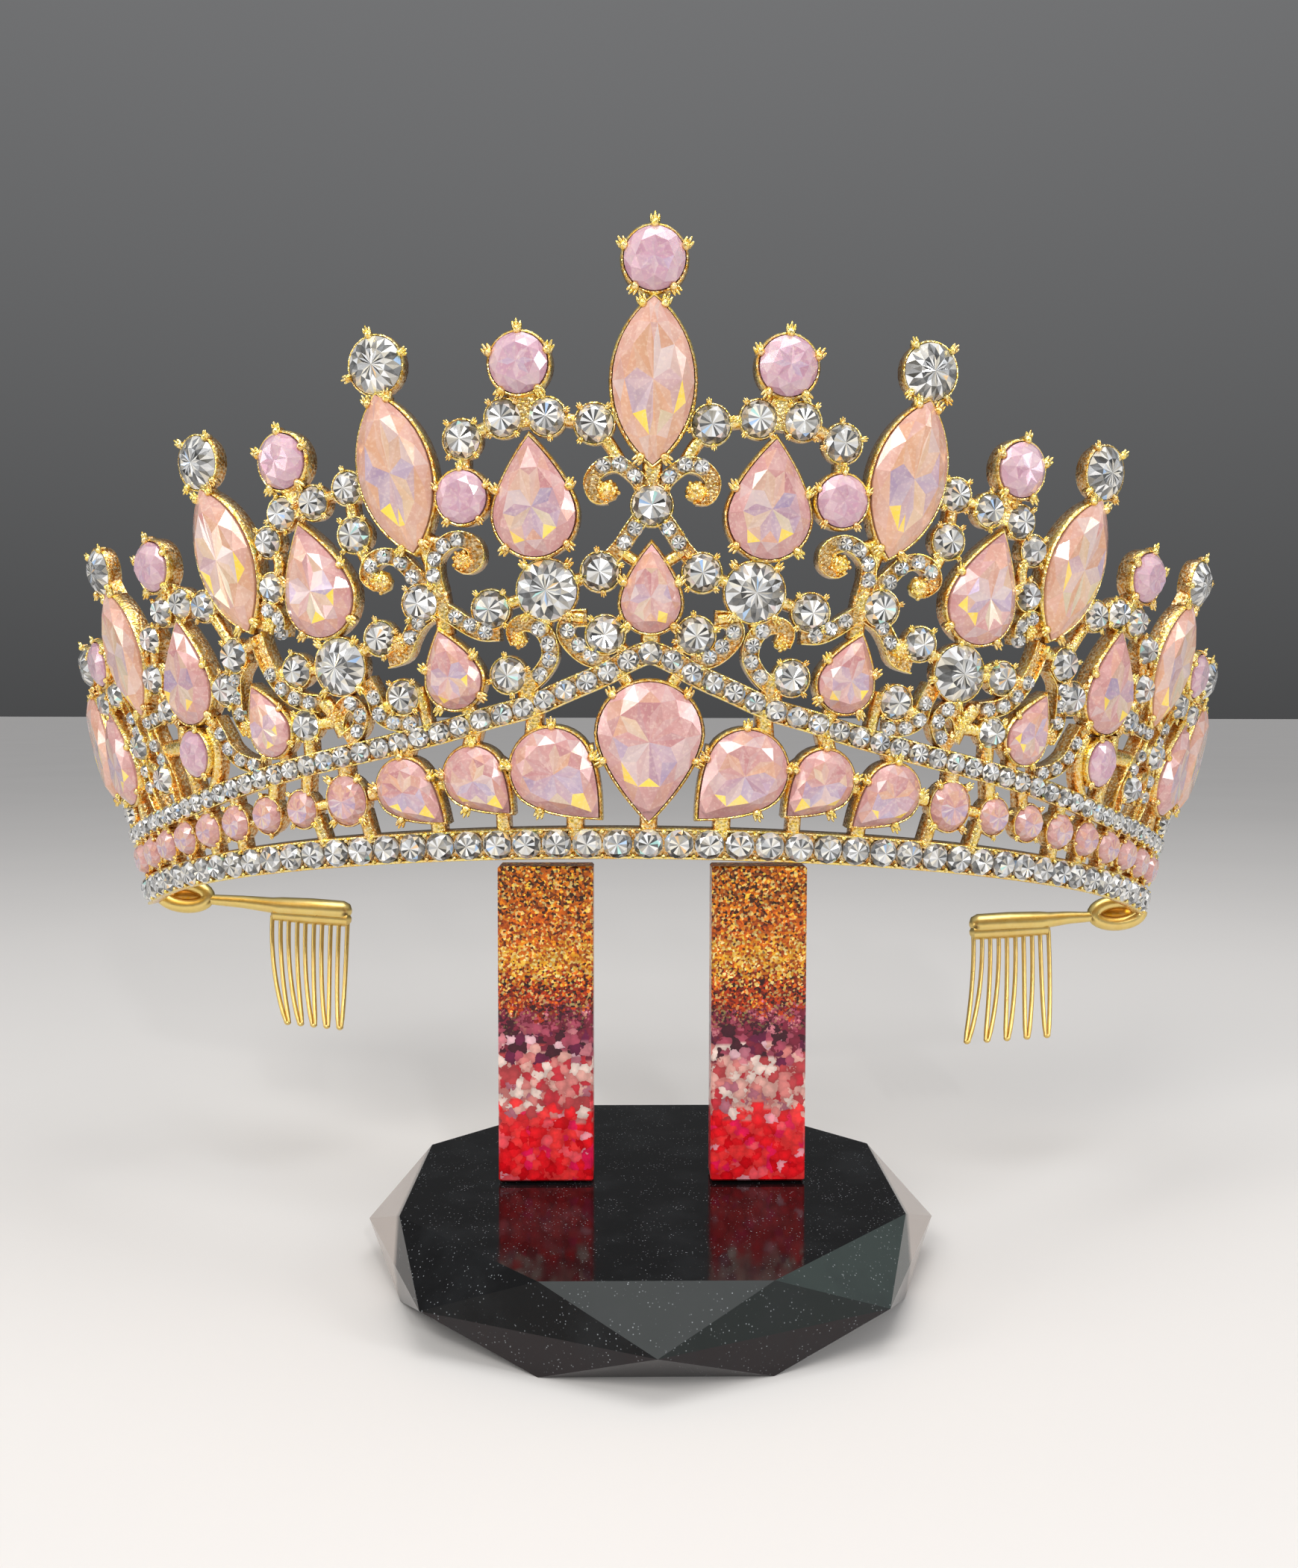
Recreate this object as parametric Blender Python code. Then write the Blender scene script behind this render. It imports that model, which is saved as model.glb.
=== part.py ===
"""Pink and clear stone tiara resting on a plain display stand.

The tiara's front is drawn flat, as arc position s along the band and height h
above the band, both in millimetres, and then wrapped round a flared elliptical
surface. The casting is one pierced plate with raised bands, scrolls, cups and
claws. The main pink stones are pieces of their own, each in its cup.
The stand is a faceted eight-sided base with two upright posts.
World frame: origin at the centre of the base's underside, +Z up, +X to the
wearer's left as seen from the front, front towards -Y. Metres.
"""
import math

import bmesh
import bpy
import numpy as np
from mathutils import Matrix, Vector
from mathutils.geometry import delaunay_2d_cdt

MM = 0.001

# Surface of the tiara (millimetres, radians)
BAND_HALF_WIDTH = 92.2        # half axis of the band's ellipse, side to side
BAND_HALF_DEPTH = 77.6        # half axis of the band's ellipse, front to back
FLARE = 0.300                 # outward lean of the wall
BAND_DROP = 3.1               # the band sinks towards its ends, mm per radian squared
ARC_END = 99.0                # arc position where the band stops

# How the tiara sits on the stand
TIARA_BACK_TILT = 0.216
TIARA_ROLL = 0.0086
TIARA_YAW = -0.0118
TIARA_OFFSET = (-0.60, -3.51)
BAND_ABOVE_BASE = 46.2        # middle of the band's front above the base's top

# Levels across the casting's thickness, outwards from the floor of the stones' seats
T_BACK = -1.3
T_SEAT = 0.0
T_FRONT = 0.8
T_CLAW = 2.2
GAP = 0.3

# Stones
SEAT_CLEARANCE = 0.38
CUP_WALL = 0.55
CUT_GIRDLE = 1.6
CUT_TABLE = 2.9
FIXED_TABLE = 1.8
FIXED_RIM = 0.15
CUT_TABLE_SHARE = 0.60        # a table's size against its stone's outline
FIXED_TABLE_SHARE = 0.58
LOWER_BAND_HALF = 2.1
UPPER_BAND_HALF = 1.55

# Stand
BASE_HEIGHT = 11.0
BASE_TOP_RADIUS = 34.6
BASE_GIRDLE_RADIUS = 38.5
BASE_FOOT_RADIUS = 34.6
BASE_GIRDLE_DROP = 5.6
POST_WIDTH = 12.7
POST_DEPTH = 5.0
POST_INNER_GAP = 15.8
POST_HEIGHT = 42.6

# Combs
COMB_TEETH = 5
COMB_TOOTH_PITCH = 2.8
COMB_TOOTH_LENGTH = 16.2
COMB_TOOTH_WIDTH = 1.4
COMB_DEPTH = 47.45            # middle of a comb behind the band's front
COMB_SLOPE = 0.085            # its arm sinks towards the middle
COMB_LUG_WIDTH = 10.0
COMB_RIGHT_PLACE = (84.2, 67.7, 2.6)      # outer ends of the lug and of the toothed bar, lift
COMB_LEFT_PLACE = (82.6, 62.9, 4.0)

# Stones that are pieces of their own: name, shape, tip (s, h), foot (s, h), width
CUT_STONES = [
    ("round_top_centre", "round", (0.0, 77.0), (0.0, 69.4), 7.6),
    ("marquise_centre", "marquise", (0.0, 68.7), (0.0, 48.5), 10.2),
    ("pear_middle_centre", "pear", (0.0, 38.6), (0.0, 27.5), 7.6),
    ("pear_lower_centre", "pear", (0.0, 3.1), (0.0, 21.2), 13.4),
]
PAIRED_CUT_STONES = [
    ("round_top_1", "round", (14.4, 64.9), (14.4, 57.5), 7.4),
    ("round_top_2", "round", (43.8, 56.7), (43.8, 49.5), 7.2),
    ("round_top_3", "round", (68.4, 48.3), (68.4, 41.2), 7.1),
    ("round_top_4", "round", (90.6, 39.9), (90.6, 32.9), 7.0),
    ("round_side", "round", (21.6, 48.6), (21.6, 42.0), 6.6),
    ("marquise_1", "marquise", (30.8, 59.1), (27.9, 38.9), 10.0),
    ("marquise_2", "marquise", (56.6, 52.2), (52.6, 32.1), 10.0),
    ("marquise_3", "marquise", (81.3, 44.7), (78.7, 25.2), 9.8),
    ("marquise_4", "marquise", (100.4, 34.4), (98.8, 15.6), 9.6),
    ("pear_upper_1", "pear", (13.6, 52.2), (13.1, 37.3), 10.6),
    ("pear_upper_2", "pear", (42.6, 44.4), (40.3, 29.5), 10.4),
    ("pear_upper_3", "pear", (65.4, 35.9), (66.2, 21.2), 10.2),
    ("pear_upper_4", "pear", (91.0, 28.5), (89.6, 13.4), 10.0),
    ("pear_middle_1", "pear", (25.6, 28.4), (23.3, 18.4), 7.5),
    ("pear_middle_2", "pear", (53.6, 24.2), (50.7, 14.5), 7.0),
    ("oval_middle_3", "oval", (67.4, 20.4), (67.4, 13.6), 6.2),
    ("pear_lower_1", "pear", (6.4, 3.6), (15.9, 13.8), 10.8),
    ("pear_lower_2", "pear", (17.9, 4.4), (25.2, 12.1), 8.1),
    ("pear_lower_3", "pear", (27.0, 3.5), (35.0, 10.8), 7.8),
]

# Stones fixed into the casting: s, h, width, height
FIXED_CENTRE = [
    (0.0, 43.5, 5.0, 5.0),
]
FIXED_PAIRS = [
    (6.4, 53.6, 4.8, 4.8), (11.6, 54.6, 4.6, 4.6), (16.5, 54.7, 4.6, 4.6), (21.3, 52.5, 4.8, 4.8),
    (5.9, 35.2, 4.8, 4.8), (12.2, 33.0, 7.7, 7.7), (5.4, 27.2, 4.8, 4.8), (17.3, 22.3, 4.6, 4.6),
    (19.1, 30.9, 4.8, 4.8), (27.9, 32.3, 4.7, 4.7), (33.6, 28.3, 4.4, 4.4), (31.3, 20.3, 4.4, 4.4),
    (39.7, 25.2, 7.6, 7.6), (35.8, 48.2, 4.2, 4.2), (35.6, 42.1, 4.5, 4.5), (40.6, 47.1, 4.3, 4.3),
    (45.2, 46.5, 4.3, 4.3), (47.8, 43.2, 4.0, 4.0), (48.2, 37.1, 3.9, 3.9), (46.3, 25.5, 4.4, 4.4),
    (46.1, 17.9, 4.2, 4.2), (68.9, 38.3, 4.2, 4.2), (64.6, 38.4, 4.2, 4.2), (60.3, 37.0, 4.2, 4.2),
    (56.4, 29.2, 4.6, 4.6), (59.0, 24.9, 4.6, 4.6), (72.9, 35.2, 4.2, 4.2), (74.3, 29.6, 4.4, 4.4),
    (83.0, 21.1, 4.4, 4.4), (77.6, 14.9, 4.4, 4.4), (87.3, 30.4, 4.2, 4.2), (94.2, 30.8, 4.0, 4.0),
    (72.4, 24.4, 3.4, 3.4), (94.6, 12.4, 3.4, 3.4),
    (30.7, 62.9, 7.3, 7.3), (56.9, 56.2, 7.2, 7.2), (83.4, 48.7, 7.0, 7.0), (100.2, 38.9, 6.8, 6.8),
    (41.3, 7.1, 6.2, 6.8), (48.8, 6.5, 4.9, 5.2), (55.3, 6.3, 5.1, 5.2), (61.9, 5.9, 5.1, 5.2),
    (68.4, 5.6, 5.1, 5.2), (74.9, 5.3, 5.1, 5.1), (81.3, 5.1, 5.1, 5.0), (87.7, 4.9, 5.1, 5.0),
    (94.1, 4.9, 5.1, 5.0),
]

# Middle line of the upper band, from the centre outwards
UPPER_BAND = [
    (0.0, 24.9), (2.8, 23.8), (5.2, 22.3), (10.0, 20.2), (15.0, 18.1), (20.0, 16.9), (25.5, 15.5),
    (31.0, 14.5), (36.0, 13.7), (42.0, 13.0), (48.5, 12.3), (55.6, 11.5), (63.8, 10.6), (70.7, 9.9),
    (77.7, 9.5), (88.0, 9.3), (99.0, 9.2),
]

# Raised scrolls that carry small stones: width, then the middle line's points
SCROLLS = [
    (2.0, [(0.9, 45.0), (1.7, 46.8), (3.7, 48.5), (5.6, 48.2), (6.8, 46.6), (6.3, 44.8), (5.0, 44.7)]),
    (2.1, [(1.2, 42.0), (2.4, 40.2), (3.4, 38.5), (4.8, 36.8)]),
    (2.2, [(7.6, 29.4), (9.4, 29.2), (10.2, 27.7), (9.3, 25.9), (7.4, 24.3), (5.0, 23.8)]),
    (2.2, [(15.9, 26.5), (16.3, 28.1), (15.1, 29.0), (13.4, 28.4), (12.3, 26.8), (12.1, 24.5),
           (13.2, 22.5), (14.8, 21.0)]),
    (2.1, [(22.6, 37.2), (21.6, 36.6), (20.5, 37.4), (20.7, 39.1), (22.4, 40.1), (24.2, 39.6),
           (25.6, 38.0), (25.8, 35.8), (25.4, 33.4)]),
    (2.1, [(33.2, 35.4), (34.4, 36.6), (33.8, 38.2), (32.2, 38.9), (30.2, 38.3), (28.6, 36.5),
           (27.0, 34.5), (25.5, 32.2)]),
    (2.2, [(25.6, 31.6), (23.8, 30.3), (22.0, 28.9), (20.2, 28.0), (18.2, 27.9)]),
    (2.2, [(26.2, 31.2), (28.2, 29.9), (29.6, 28.0), (30.7, 26.0), (33.0, 25.4)]),
    (2.2, [(36.3, 23.0), (35.3, 20.6), (34.8, 18.4), (33.0, 17.1), (30.4, 16.7)]),
    (2.1, [(41.2, 17.4), (40.4, 19.4), (38.8, 20.2), (37.5, 18.7), (38.2, 16.5), (40.4, 15.2)]),
    (2.4, [(52.0, 31.4), (51.4, 28.4), (50.2, 25.4), (48.4, 22.8), (46.4, 21.4), (43.4, 20.6)]),
    (2.2, [(51.2, 32.0), (50.6, 33.8), (49.0, 34.2), (47.9, 32.6), (48.3, 30.6)]),
    (2.2, [(54.4, 28.6), (56.4, 26.6), (57.1, 23.8), (57.3, 20.8), (56.2, 18.4)]),
    (2.2, [(62.6, 21.0), (61.4, 18.6), (60.4, 16.3), (58.2, 14.4), (55.0, 13.2)]),
    (2.3, [(71.4, 24.6), (75.0, 23.9), (79.2, 23.8)]),
    (2.3, [(78.6, 26.2), (78.0, 21.8), (76.6, 18.2), (75.0, 14.0), (74.6, 10.4)]),
    (2.2, [(86.0, 28.6), (83.6, 25.0), (82.6, 20.8), (83.4, 16.4), (82.6, 12.6), (81.0, 10.0)]),
    (2.4, [(98.6, 17.0), (97.0, 13.4), (96.4, 9.8)]),
]

# Plain struts of the plate: width, then the middle line's points
STRUTS = [
    (1.8, [(6.4, 53.6), (11.6, 54.6)]), (1.8, [(16.5, 54.7), (21.3, 52.5)]),
    (1.8, [(21.3, 52.5), (21.6, 46.0)]), (1.8, [(6.4, 53.6), (4.4, 50.4), (3.5, 48.6)]),
    (1.6, [(3.6, 37.8), (1.4, 36.2)]), (1.7, [(5.9, 35.2), (12.2, 33.0)]),
    (1.7, [(12.2, 33.0), (19.1, 30.9)]), (1.7, [(12.0, 30.0), (8.0, 29.4)]),
    (1.8, [(12.2, 30.0), (12.8, 27.8)]), (2.0, [(5.4, 27.2), (2.6, 24.4)]),
    (3.0, [(14.9, 22.8), (15.2, 18.4)]), (2.0, [(17.3, 22.3), (15.0, 21.2)]),
    (2.2, [(23.3, 19.4), (22.4, 16.4)]), (2.3, [(26.9, 39.8), (25.9, 36.0), (25.3, 32.0), (25.2, 28.0)]),
    (1.8, [(26.8, 40.4), (24.4, 39.6)]), (1.8, [(19.1, 30.9), (20.2, 28.0)]),
    (2.4, [(33.6, 28.3), (31.0, 26.8)]), (1.8, [(33.6, 28.3), (39.7, 25.2)]),
    (1.7, [(29.2, 21.4), (28.8, 18.8), (28.4, 15.6)]), (2.0, [(31.3, 20.3), (34.8, 18.8)]),
    (2.4, [(43.2, 20.8), (41.6, 18.6), (40.6, 16.0)]), (2.0, [(39.7, 25.2), (46.3, 25.5)]),
    (2.0, [(46.3, 25.5), (50.0, 25.6)]), (2.0, [(46.1, 17.9), (41.2, 18.0)]),
    (2.0, [(46.1, 17.9), (46.6, 12.8)]), (2.0, [(50.7, 15.4), (50.9, 12.4)]),
    (2.0, [(50.0, 20.0), (46.1, 17.9)]),
    (1.8, [(47.8, 43.2), (46.9, 40.1), (48.2, 37.1)]), (2.0, [(48.2, 37.1), (49.4, 33.6)]),
    (1.8, [(35.8, 48.2), (35.6, 42.1), (34.4, 38.2)]), (1.6, [(35.8, 48.2), (40.6, 47.1)]),
    (1.8, [(40.6, 47.1), (45.2, 46.5)]),
    (2.0, [(56.4, 29.2), (52.4, 30.6)]), (1.8, [(60.3, 37.0), (58.3, 33.4), (56.6, 29.8)]),
    (2.0, [(59.0, 24.9), (56.4, 29.2)]), (2.0, [(59.0, 24.9), (57.0, 24.0)]),
    (1.8, [(64.2, 20.2), (63.4, 17.2), (64.4, 13.8), (66.6, 11.0)]),
    (2.0, [(66.4, 22.4), (62.2, 20.4)]), (2.4, [(70.4, 21.6), (71.0, 17.4), (70.2, 13.2), (70.4, 10.2)]),
    (2.6, [(70.6, 18.6), (77.0, 19.0)]), (2.0, [(72.4, 24.4), (70.6, 21.6)]),
    (2.0, [(72.9, 35.2), (74.3, 29.6), (72.4, 24.4)]), (2.0, [(81.4, 31.4), (87.3, 30.4)]),
    (2.0, [(87.3, 30.4), (90.6, 34.4)]), (2.0, [(94.2, 30.8), (90.6, 34.4)]),
    (2.0, [(94.2, 30.8), (99.0, 27.0)]), (2.2, [(83.0, 21.1), (78.0, 21.8)]),
    (2.2, [(83.0, 18.4), (77.6, 14.9)]), (2.0, [(77.6, 14.9), (75.6, 14.9)]),
    (2.2, [(89.8, 14.6), (90.0, 9.4)]), (2.2, [(84.0, 15.4), (89.6, 14.6)]),
    (2.0, [(94.6, 12.4), (97.0, 13.4)]), (2.0, [(94.6, 12.4), (94.8, 9.4)]),
    (2.0, [(94.4, 16.4), (98.6, 17.6)]),
    (2.4, [(9.6, 5.4), (9.6, 1.0)]), (2.0, [(19.2, 5.6), (19.2, 1.0)]), (2.2, [(28.4, 5.0), (28.2, 1.0)]),
    (2.0, [(39.2, 5.4), (38.4, 1.0)]), (1.9, [(46.9, 5.2), (46.0, 1.0)]),
    (2.4, [(14.8, 13.6), (14.2, 18.0)]), (2.4, [(23.4, 12.0), (22.0, 16.0)]),
    (2.4, [(32.8, 10.6), (31.4, 14.2)]), (2.4, [(41.3, 9.4), (41.2, 13.0)]),
    (2.0, [(48.2, 8.0), (47.2, 12.2)]), (2.0, [(54.2, 8.2), (53.2, 11.6)]),
    (2.0, [(61.9, 1.4), (61.9, 10.6)]), (1.6, [(19.8, 11.4), (16.6, 9.0)]),
    (1.6, [(29.2, 8.4), (25.4, 8.0)]), (2.0, [(37.8, 7.6), (34.6, 8.0)]),
    (1.8, [(2.4, 20.4), (3.8, 22.8)]), (1.6, [(7.0, 12.4), (8.4, 12.2)]),
    (1.6, [(41.3, 7.1), (48.8, 6.5)]),
    (4.4, [(14.4, 58.4), (14.0, 53.4)]), (4.2, [(43.7, 50.4), (42.9, 45.6)]),
    (4.2, [(68.3, 42.0), (67.2, 37.4)]), (3.4, [(90.6, 33.4), (91.0, 29.2)]),
    (3.4, [(81.0, 43.4), (83.4, 48.7)]), (3.2, [(100.3, 33.0), (100.2, 38.9)]),
    (2.0, [(68.4, 1.4), (68.4, 9.8)]), (2.0, [(74.9, 1.4), (74.9, 9.4)]),
    (2.0, [(81.3, 1.4), (81.3, 9.2)]), (2.0, [(87.7, 1.4), (87.7, 9.0)]),
    (2.0, [(94.1, 1.4), (94.1, 9.0)]),
]
# Small plain knobs that end the scrolls and fill their bends: s, h, radius
KNOBS = [
    (5.0, 45.3, 1.5), (15.9, 26.8, 1.1), (22.3, 37.4, 1.4), (32.8, 35.6, 1.6), (31.2, 27.4, 1.5),
    (49.6, 32.4, 1.3), (56.3, 18.9, 1.3), (41.4, 18.6, 1.3),
]
CENTRE_STRUTS = [
    (2.4, [(0.0, 4.4), (0.0, 1.0)]), (2.6, [(0.0, 28.4), (0.0, 24.6)]), (2.6, [(0.0, 50.0), (0.0, 43.5)]),
]


# Surface

def arc_table():
    """Arc length of the band against its ellipse angle."""
    phi = np.linspace(0.0, 1.5, 3001)
    step = np.hypot(BAND_HALF_WIDTH * np.cos(phi), BAND_HALF_DEPTH * np.sin(phi))
    s = np.concatenate([[0.0], np.cumsum((step[1:] + step[:-1]) / 2 * (phi[1] - phi[0]))])
    return phi, s


PHI_TABLE, S_TABLE = arc_table()


def phi_at(s):
    return math.copysign(float(np.interp(abs(s), S_TABLE, PHI_TABLE)), s)


def stretch(s, h):
    """How much wider the surface is at height h than at the band."""
    phi = phi_at(s)
    a, b = BAND_HALF_WIDTH, BAND_HALF_DEPTH
    bend = a * b / (a * a * math.cos(phi) ** 2 + b * b * math.sin(phi) ** 2) ** 1.5
    return 1.0 + (h - BAND_DROP * phi * phi) * math.sin(FLARE) * bend


def surface_axes(s):
    """Sideways, upward and outward unit vectors of the surface at arc position s."""
    phi = phi_at(s)
    out = Vector((BAND_HALF_DEPTH * math.sin(phi), -BAND_HALF_WIDTH * math.cos(phi), 0.0)).normalized()
    side = Vector((-out.y, out.x, 0.0))
    up = out * math.sin(FLARE) + Vector((0.0, 0.0, math.cos(FLARE)))
    normal = out * math.cos(FLARE) - Vector((0.0, 0.0, math.sin(FLARE)))
    return side, up, normal


def surface_point(s, h, t):
    phi = phi_at(s)
    side, up, normal = surface_axes(s)
    foot = Vector((BAND_HALF_WIDTH * math.sin(phi), BAND_HALF_DEPTH * (1.0 - math.cos(phi)), 0.0))
    return foot + up * (h - BAND_DROP * phi * phi) + normal * t


def tiara_placement():
    lift = BAND_ABOVE_BASE + BASE_HEIGHT
    turn = (Matrix.Rotation(TIARA_YAW, 4, "Z") @ Matrix.Rotation(TIARA_ROLL, 4, "Y")
            @ Matrix.Rotation(-TIARA_BACK_TILT, 4, "X"))
    return Matrix.Translation((TIARA_OFFSET[0] * MM, TIARA_OFFSET[1] * MM, lift * MM)) @ turn


# Outlines of stones, in millimetres, tip towards +y, counter-clockwise

def oval_outline(width, height, sides):
    turn = math.pi / sides
    return [(width / 2 * math.cos(2 * math.pi * i / sides + turn),
             height / 2 * math.sin(2 * math.pi * i / sides + turn)) for i in range(sides)]


def marquise_outline(width, height):
    radius = ((height / 2) ** 2 + (width / 2) ** 2) / width
    side = []
    for i in range(1, 6):
        y = -height / 2 * math.cos(math.pi * i / 6)
        side.append((math.sqrt(radius ** 2 - y ** 2) - (radius - width / 2), y))
    left = [(-x, y) for x, y in reversed(side)]
    return [(0.0, -height / 2)] + side + [(0.0, height / 2)] + left


def pear_outline(width, height):
    r = width / 2
    middle = -height / 2 + r
    rest = height / 2 - middle
    bulge = [(r * math.cos(a), middle + r * math.sin(a)) for a in
             [-math.pi * 5 / 6, -math.pi * 2 / 3, -math.pi / 2, -math.pi / 3, -math.pi / 6, 0.0]]
    side = [(r * (1.0 - u ** 1.6), middle + rest * u) for u in (0.38, 0.70)]
    left = [(-x, y) for x, y in reversed(side)]
    return bulge + side + [(0.0, height / 2)] + left + [(-r, middle)]


def stone_outline(shape, width, height):
    if shape == "round":
        return oval_outline(width, height, 10)
    if shape == "oval":
        return oval_outline(width, height, 10)
    if shape == "marquise":
        return marquise_outline(width, height)
    return pear_outline(width, height)


def grown(outline, distance):
    """The outline moved outwards by distance."""
    count = len(outline)
    result = []
    for i in range(count):
        before = Vector(outline[i - 1])
        here = Vector(outline[i])
        after = Vector(outline[(i + 1) % count])
        d1 = (here - before).normalized()
        d2 = (after - here).normalized()
        n1 = Vector((d1.y, -d1.x))
        n2 = Vector((d2.y, -d2.x))
        middle = (n1 + n2).normalized()
        reach = distance / max(middle.dot(n1), 0.62)
        result.append((here.x + middle.x * reach, here.y + middle.y * reach))
    return result


# Flat drawing

class Seat:
    """Where a stone sits: centre, lean from the surface's upward line, size."""

    def __init__(self, tip, foot, width):
        self.s = (tip[0] + foot[0]) / 2
        self.h = (tip[1] + foot[1]) / 2
        dx = (tip[0] - foot[0]) * stretch(self.s, self.h)
        dy = tip[1] - foot[1]
        self.lean = math.atan2(dx, dy)
        self.height = math.hypot(dx, dy)
        self.width = width

    def flat(self, outline):
        """Outline points in the stone's own plane, put on the flat drawing."""
        ca, sa = math.cos(self.lean), math.sin(self.lean)
        points = []
        for x, y in outline:
            along = x * ca + y * sa
            h = self.h - x * sa + y * ca
            points.append((self.s + along / stretch(self.s, h), h))
        return points


def ribbon(line, half):
    """Closed outline of a strip along a line, on the flat drawing."""
    left, right = [], []
    for i, (s, h) in enumerate(line):
        a = line[max(i - 1, 0)]
        b = line[min(i + 1, len(line) - 1)]
        d = Vector((b[0] - a[0], b[1] - a[1])).normalized()
        k = stretch(s, h)
        left.append((s - d.y * half / k, h + d.x * half))
        right.append((s + d.y * half / k, h - d.x * half))
    return right + left[::-1]


def disc(s, h, radius, sides):
    k = stretch(s, h)
    turn = math.pi / sides
    return [(s + radius / k * math.cos(2 * math.pi * i / sides + turn),
             h + radius * math.sin(2 * math.pi * i / sides + turn)) for i in range(sides)]


def claw(seat, x, y, size):
    """A small four-sided claw beside the stone's outline point (x, y)."""
    reach = math.hypot(x, y)
    out = (x / reach, y / reach)
    across = (-out[1], out[0])
    near, far = -0.2, SEAT_CLEARANCE + size
    corners = []
    for along, wide in ((near, -size * 0.6), (far, -size * 0.5), (far, size * 0.5), (near, size * 0.6)):
        corners.append((x + out[0] * along + across[0] * wide, y + out[1] * along + across[1] * wide))
    return seat.flat(corners)


CLAW_SIZE = {"round": 1.3, "oval": 1.1, "marquise": 1.5}
CLAWED_FIXED = (6.7, 36.0)    # fixed stones at least this wide and this high up have claws too


def claw_points(shape, width, height):
    """Outline points beside which the claws stand."""
    if shape in ("round", "oval"):
        return [(width / 2 * math.sin(a), height / 2 * math.cos(a)) for a in
                (math.radians(10), math.radians(80), math.radians(-70))]
    if shape == "marquise":
        outline = marquise_outline(width, height)
        return [outline[i] for i in (5, 7)]
    return []


def both_sides(entries):
    """Struts or scrolls of one side, and the same mirrored."""
    for width, points in entries:
        yield width, points
        yield width, [(-s, h) for s, h in points]


def layout():
    """All outlines of the casting, by kind."""
    shapes = {"metal": [], "fixed": [], "claw": [], "seat": []}
    count = int(2 * ARC_END / 4.5)
    edge = [(-ARC_END + 2 * ARC_END * i / count, 0.0) for i in range(count + 1)]
    shapes["metal"].append(ribbon(edge, LOWER_BAND_HALF))
    upper = [(-s, h) for s, h in reversed(UPPER_BAND[1:])] + UPPER_BAND
    shapes["metal"].append(ribbon(upper, UPPER_BAND_HALF))
    for width, points in both_sides(SCROLLS):
        shapes["metal"].append(ribbon(points, width / 2))
    for width, points in list(both_sides(STRUTS)) + CENTRE_STRUTS:
        shapes["metal"].append(ribbon(points, width / 2))
    for s, h, radius in KNOBS + [(-s, h, r) for s, h, r in KNOBS]:
        shapes["metal"].append(disc(s, h, radius, 8))
    for name, shape, tip, foot, width in all_cut_stones():
        seat = Seat(tip, foot, width)
        outline = stone_outline(shape, width, seat.height)
        shapes["seat"].append(seat.flat(grown(outline, SEAT_CLEARANCE)))
        shapes["metal"].append(seat.flat(grown(outline, SEAT_CLEARANCE + CUP_WALL)))
        for x, y in claw_points(shape, width, seat.height):
            shapes["claw"].append(claw(seat, x, y, CLAW_SIZE[shape]))
    fixed = FIXED_CENTRE + FIXED_PAIRS + [(-s, h, w, t) for s, h, w, t in FIXED_PAIRS]
    for s, h, width, height in fixed:
        seat = Seat((s, h + height / 2), (s, h - height / 2), width)
        sides = 8 if width < 6 else 10
        grown_by = 2 * FIXED_RIM
        outline = oval_outline(width + grown_by, height + grown_by, sides)
        shapes["fixed"].append((seat.flat(outline), (s, h)))
        if width >= CLAWED_FIXED[0] and h >= CLAWED_FIXED[1]:
            for x, y in claw_points("round", width, height):
                shapes["claw"].append(claw(seat, x, y, CLAW_SIZE["round"]))
    return shapes


def all_cut_stones():
    """Every separate stone: name, shape, tip, foot, width."""
    for name, shape, tip, foot, width in CUT_STONES:
        yield name, shape, tip, foot, width
    for name, shape, tip, foot, width in PAIRED_CUT_STONES:
        yield name + "_right", shape, tip, foot, width
        yield name + "_left", shape, (-tip[0], tip[1]), (-foot[0], foot[1]), width


# From the flat drawing to the casting

def inside(points, outline):
    """Which of the points lie inside the outline."""
    poly = np.array(outline)
    x, y = points[:, 0], points[:, 1]
    result = np.zeros(len(points), dtype=bool)
    near = ((x > poly[:, 0].min()) & (x < poly[:, 0].max()) & (y > poly[:, 1].min()) & (y < poly[:, 1].max()))
    if not near.any():
        return result
    px, py = x[near], y[near]
    hit = np.zeros(len(px), dtype=bool)
    for (x1, y1), (x2, y2) in zip(poly, np.roll(poly, -1, axis=0)):
        if y1 == y2:
            continue
        crosses = (y1 > py) != (y2 > py)
        hit ^= crosses & (px < (x2 - x1) * (py - y1) / (y2 - y1) + x1)
    result[near] = hit
    return result


def classify(centres, shapes):
    """Region of each point: -1 is open, 0 seat floor, 1 metal, 2 claw, 10 and up a fixed stone."""
    region = np.full(len(centres), -1)
    for outline in shapes["metal"]:
        region[inside(centres, outline)] = 1
    for i, (outline, centre) in enumerate(shapes["fixed"]):
        found = inside(centres, outline) & (region < 10)
        region[found] = 10 + i
    for outline in shapes["claw"]:
        region[inside(centres, outline)] = 2
    for outline in shapes["seat"]:
        region[inside(centres, outline)] = 0
    return region


def triangulate(points, edges):
    verts, _, faces, _, _, _ = delaunay_2d_cdt([Vector(p) for p in points], edges, [], 0, 1e-5, False)
    return np.array([(v.x, v.y) for v in verts]), np.array([tuple(f) for f in faces])


def borders(verts, faces, region):
    """Edges whose two sides belong to different regions."""
    sides = {}
    for f, face in enumerate(faces):
        for i in range(3):
            a, b = int(face[i]), int(face[(i + 1) % 3])
            sides.setdefault((min(a, b), max(a, b)), []).append(region[f])
    keep, seats = [], set()
    for edge, found in sides.items():
        pair = (found + [-1])[:2]
        if pair[0] != pair[1]:
            keep.append(edge)
            if 0 in pair:
                seats.update(edge)
    return keep, seats


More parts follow.
